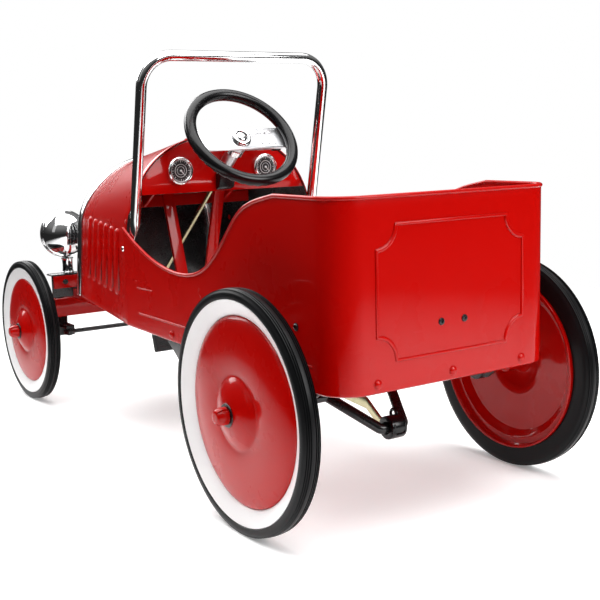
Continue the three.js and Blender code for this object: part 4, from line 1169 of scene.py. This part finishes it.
def addGauge(word):
    low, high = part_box(word + "_gauge")
    centre = Vector(((low.x + high.x) / 2, low.y, (low.z + high.z) / 2))
    radius = gauge["radius"]

    def fit(piece, angle=35):
        return smooth(place(piece, centre, (0, 1, 0), (1, 0, 0)), angle)

    bezel = turned(word + "_gauge_bezel", [(14.6, 0), (radius - 0.4, 0), (radius, 1.4), (radius, 3.0),
                                           (18.2, 4.9), (17.2, 5.8), (16.4, 6.0), (15.6, 5.6), (15.2, 4.4),
                                           (14.6, 3.9)], 64)
    finishPiece(fit(bezel), "chrome", "body", word + "_gauge")
    face = turned(word + "_gauge_dial", [(0, 0.3), (15.4, 0.3), (15.4, 3.7), (14.8, 3.9), (9.2, 4.0),
                                         (9.0, 3.7), (0, 3.7)], 64)
    finishPiece(fit(face), "dial", "body")
    marks = []
    for i in range(gauge["ticks"]):
        isLong = i % 3 == 0
        tick = startPiece("cube", "tick", size=1)
        tick.scale = ((2.6 if isLong else 1.4) * mm, (0.5 if isLong else 0.32) * mm, 0.25 * mm)
        tick.location = ((13.6 - (1.3 if isLong else 0.7)) * mm, 0, 4.0 * mm)
        settle(tick)
        editAll(tick)
        bpy.ops.transform.rotate(value=i / gauge["ticks"] * 2 * math.pi, orient_axis="Z",
                                 center_override=(0, 0, 0))
        leaveEdit()
        marks.append(tick)
    for ringRadius, thick in ((14.2, 0.22), (8.6, 0.28), (5.4, 0.18)):
        level = 4.0 if ringRadius > 9 else 3.8
        ring = startPiece("torus", "ring", major_radius=ringRadius * mm, minor_radius=thick * mm,
                          major_segments=64, minor_segments=8, location=(0, 0, level * mm))
        marks.append(ring)
    needle = turned("pin", [(0, 3.6), (1.5, 3.6), (1.5, 4.7), (1.0, 5.1), (0, 5.1)], 20)
    pointer = startPiece("cone", "pointer", vertices=4, radius1=0.0008, radius2=0.0002, depth=0.0095)
    place(pointer, Vector((math.cos(gauge["needleTurn"]) * 0.0038, math.sin(gauge["needleTurn"]) * 0.0038,
                           0.0046)),
          (math.cos(gauge["needleTurn"]), math.sin(gauge["needleTurn"]), 0), (0, 0, 1))
    finishPiece(fit(joined(word + "_gauge_marks", marks + [needle, pointer]), 30), "white", "body")


for word in ("left", "right"):
    addGauge(word)
print("gauges ready")

# pieces whose CAD shape is right: their copies get soft edges and a finish
softened = [
    ("radiator_shell", "chrome", 2.0, 4), ("dash_panel", "paint", 0.6, 2),
    ("column_bracket", "plastic", 1.0, 3), ("lamp_bracket", "steel", 0.9, 2),
    ("front_beam", "paint", 1.0, 3), ("left_chassis_rail", "paint", 0.8, 2),
    ("right_chassis_rail", "paint", 0.8, 2), ("steering_support", "steel", 0.8, 2),
    ("left_knuckle", "plastic", 1.2, 3), ("right_knuckle", "plastic", 1.2, 3),
    ("tie_rod", "steel", 0.6, 2), ("left_axle_hanger", "steel", 1.2, 3),
    ("right_axle_hanger", "steel", 1.2, 3), ("pedal_crossbar", "paint", 1.0, 3),
    ("pedal_pivot_rod", "zinc", 0.6, 2), ("left_pedal_lever", "paint", 0.9, 3),
    ("right_pedal_lever", "paint", 0.9, 3), ("steering_rod", "zinc", 0.5, 2),
    ("left_big_end", "plastic", 1.2, 3), ("right_big_end", "plastic", 1.2, 3),
    ("radiator_grille", "steel", 0.5, 2), ("left_connecting_rod", "zinc", 0.7, 2),
    ("right_connecting_rod", "zinc", 0.7, 2), ("seat_pan", "paint", 0.9, 3),
]
for node, look, width, segments in softened:
    refinedPiece(node, look, width, segments)
print("softened pieces ready")

# red faces on the lamp bracket, and the ears and clips on the big ends
bracketFace = {"inner": 0.090, "outer": 0.1295, "low": 0.1765, "high": 0.1965, "stand": 0.0009}


def addBracketFaces():
    low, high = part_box("lamp_bracket")
    panels, spots = [], []
    for side in (1, -1):
        middleX = side * (bracketFace["inner"] + bracketFace["outer"]) / 2
        middleZ = (bracketFace["low"] + bracketFace["high"]) / 2
        panel = startPiece("cube", "panel", size=1)
        panel.scale = (bracketFace["outer"] - bracketFace["inner"], bracketFace["stand"] * 2,
                       bracketFace["high"] - bracketFace["low"])
        panel.location = (middleX, high.y, middleZ)
        panels.append(softenEdges(settle(panel), 0.8, 3))
        spots.append(((middleX, high.y + bracketFace["stand"], middleZ), (0, 1, 0)))
    finishPiece(smooth(joined("bracket_faces", panels), 40), "paint", "body")
    fasten("bracket_screws", "screw", "steel", "body", spots)


def addBigEndParts(word):
    low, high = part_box(word + "_big_end")
    middle = (low + high) / 2
    ear = startPiece("torus", "ear", major_radius=0.0052, minor_radius=0.0018, major_segments=32,
                     minor_segments=12)
    place(ear, (low.x + 0.004, middle.y - 0.006, high.z - 0.001), (1, 0, 0))
    clip = [Vector((x, high.y - 0.0004, middle.z + rise)) for x, rise in
            ((low.x + 0.003, 0.006), (low.x + 0.003, -0.006), (high.x - 0.003, -0.006),
             (high.x - 0.003, 0.006))]
    wire = tube("clip", roundedRoute(clip, 0.003, 5), 0.8, 3)
    body = bodyOf(word + "_big_end")
    finishPiece(smooth(joined(word + "_big_end_ear", [ear, wire]), 45), "plastic", body)


addBracketFaces()
for word in ("left", "right"):
    addBigEndParts(word)

# crankshaft: one bent bar
crank = {"radius": 5.85, "bend": 0.0055}


def makeCrank():
    low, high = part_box("crankshaft")
    axle = Vector(joints["crank_turn"]["pos_m"])
    leftPin = Vector(joints["left_rod_turn"]["pos_m"])
    rightPin = Vector(joints["right_rod_turn"]["pos_m"])
    corners = [(high.x - 0.0004, axle.y, axle.z), (0.088, axle.y, axle.z), (0.046, leftPin.y, leftPin.z),
               (0.014, leftPin.y, leftPin.z), (-0.014, rightPin.y, rightPin.z),
               (-0.046, rightPin.y, rightPin.z), (-0.088, axle.y, axle.z), (low.x + 0.0004, axle.y, axle.z)]
    bar = tube("crank_bar", roundedRoute(corners, crank["bend"], 7), crank["radius"], 6)
    finishPiece(smooth(bar, 50), "steel", "crank", "crankshaft")


makeCrank()
print("crank ready")

# ribbed pedal treads
tread = {"ribs": 6}


def addTread(side, word):
    node = word + "_pedal_tread"
    piece = fromNode(node, word + "_tread_rubber")
    editAll(piece, "FACE")
    bpy.ops.mesh.dissolve_limited(angle_limit=math.radians(1))
    leaveEdit()
    softenEdges(piece, 2.2, 4)
    finishPiece(smooth(piece, 40), "tread", word + "_pedal", node)
    lever = joints[word + "_pedal_swing"]["pos_m"]
    low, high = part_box(node)
    middle = (low + high) / 2
    down = Vector((0, middle.y - lever[1], middle.z - lever[2])).normalized()
    outward = Vector((1, 0, 0)).cross(down).normalized()
    ribs = []
    for face in (1, -1):
        for i in range(tread["ribs"]):
            shift = (i - (tread["ribs"] - 1) / 2) * 0.0036
            rib = capsule("rib", 0.043, 1.1, 0.8, 10)
            ribs.append(place(rib, middle + down * shift + outward * face * 0.006, (1, 0, 0), outward))
    finishGroup(word + "_tread_ribs", ribs, "tread", word + "_pedal")


for side, word in ((1, "left"), (-1, "right")):
    addTread(side, word)

# grille bars
grille = {"bars": 10, "radius": 1.6}


def addGrilleBars():
    low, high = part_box("radiator_grille")
    bars = []
    span = high.x - low.x - 0.03
    for i in range(grille["bars"]):
        x = (i / (grille["bars"] - 1) - 0.5) * span
        fullRise = high.z - 0.2835
        crown = 0.2835 + (fullRise - 0.004) * max(0.0, 1 - (abs(x) / 0.112) ** 1.7) ** 0.6
        bars.append(tube("bar", [(x, low.y - 0.0012, low.z + 0.004), (x, low.y - 0.0012, crown)],
                         grille["radius"], 3))
    finishGroup("grille_bars", bars, "chrome", "body")


addGrilleBars()

for master in masters.values():
    bpy.data.objects.remove(master)
leftOver = [name for name, node in nodes.items() if not node.hide_render]
print("CAD nodes still shown:", leftOver)
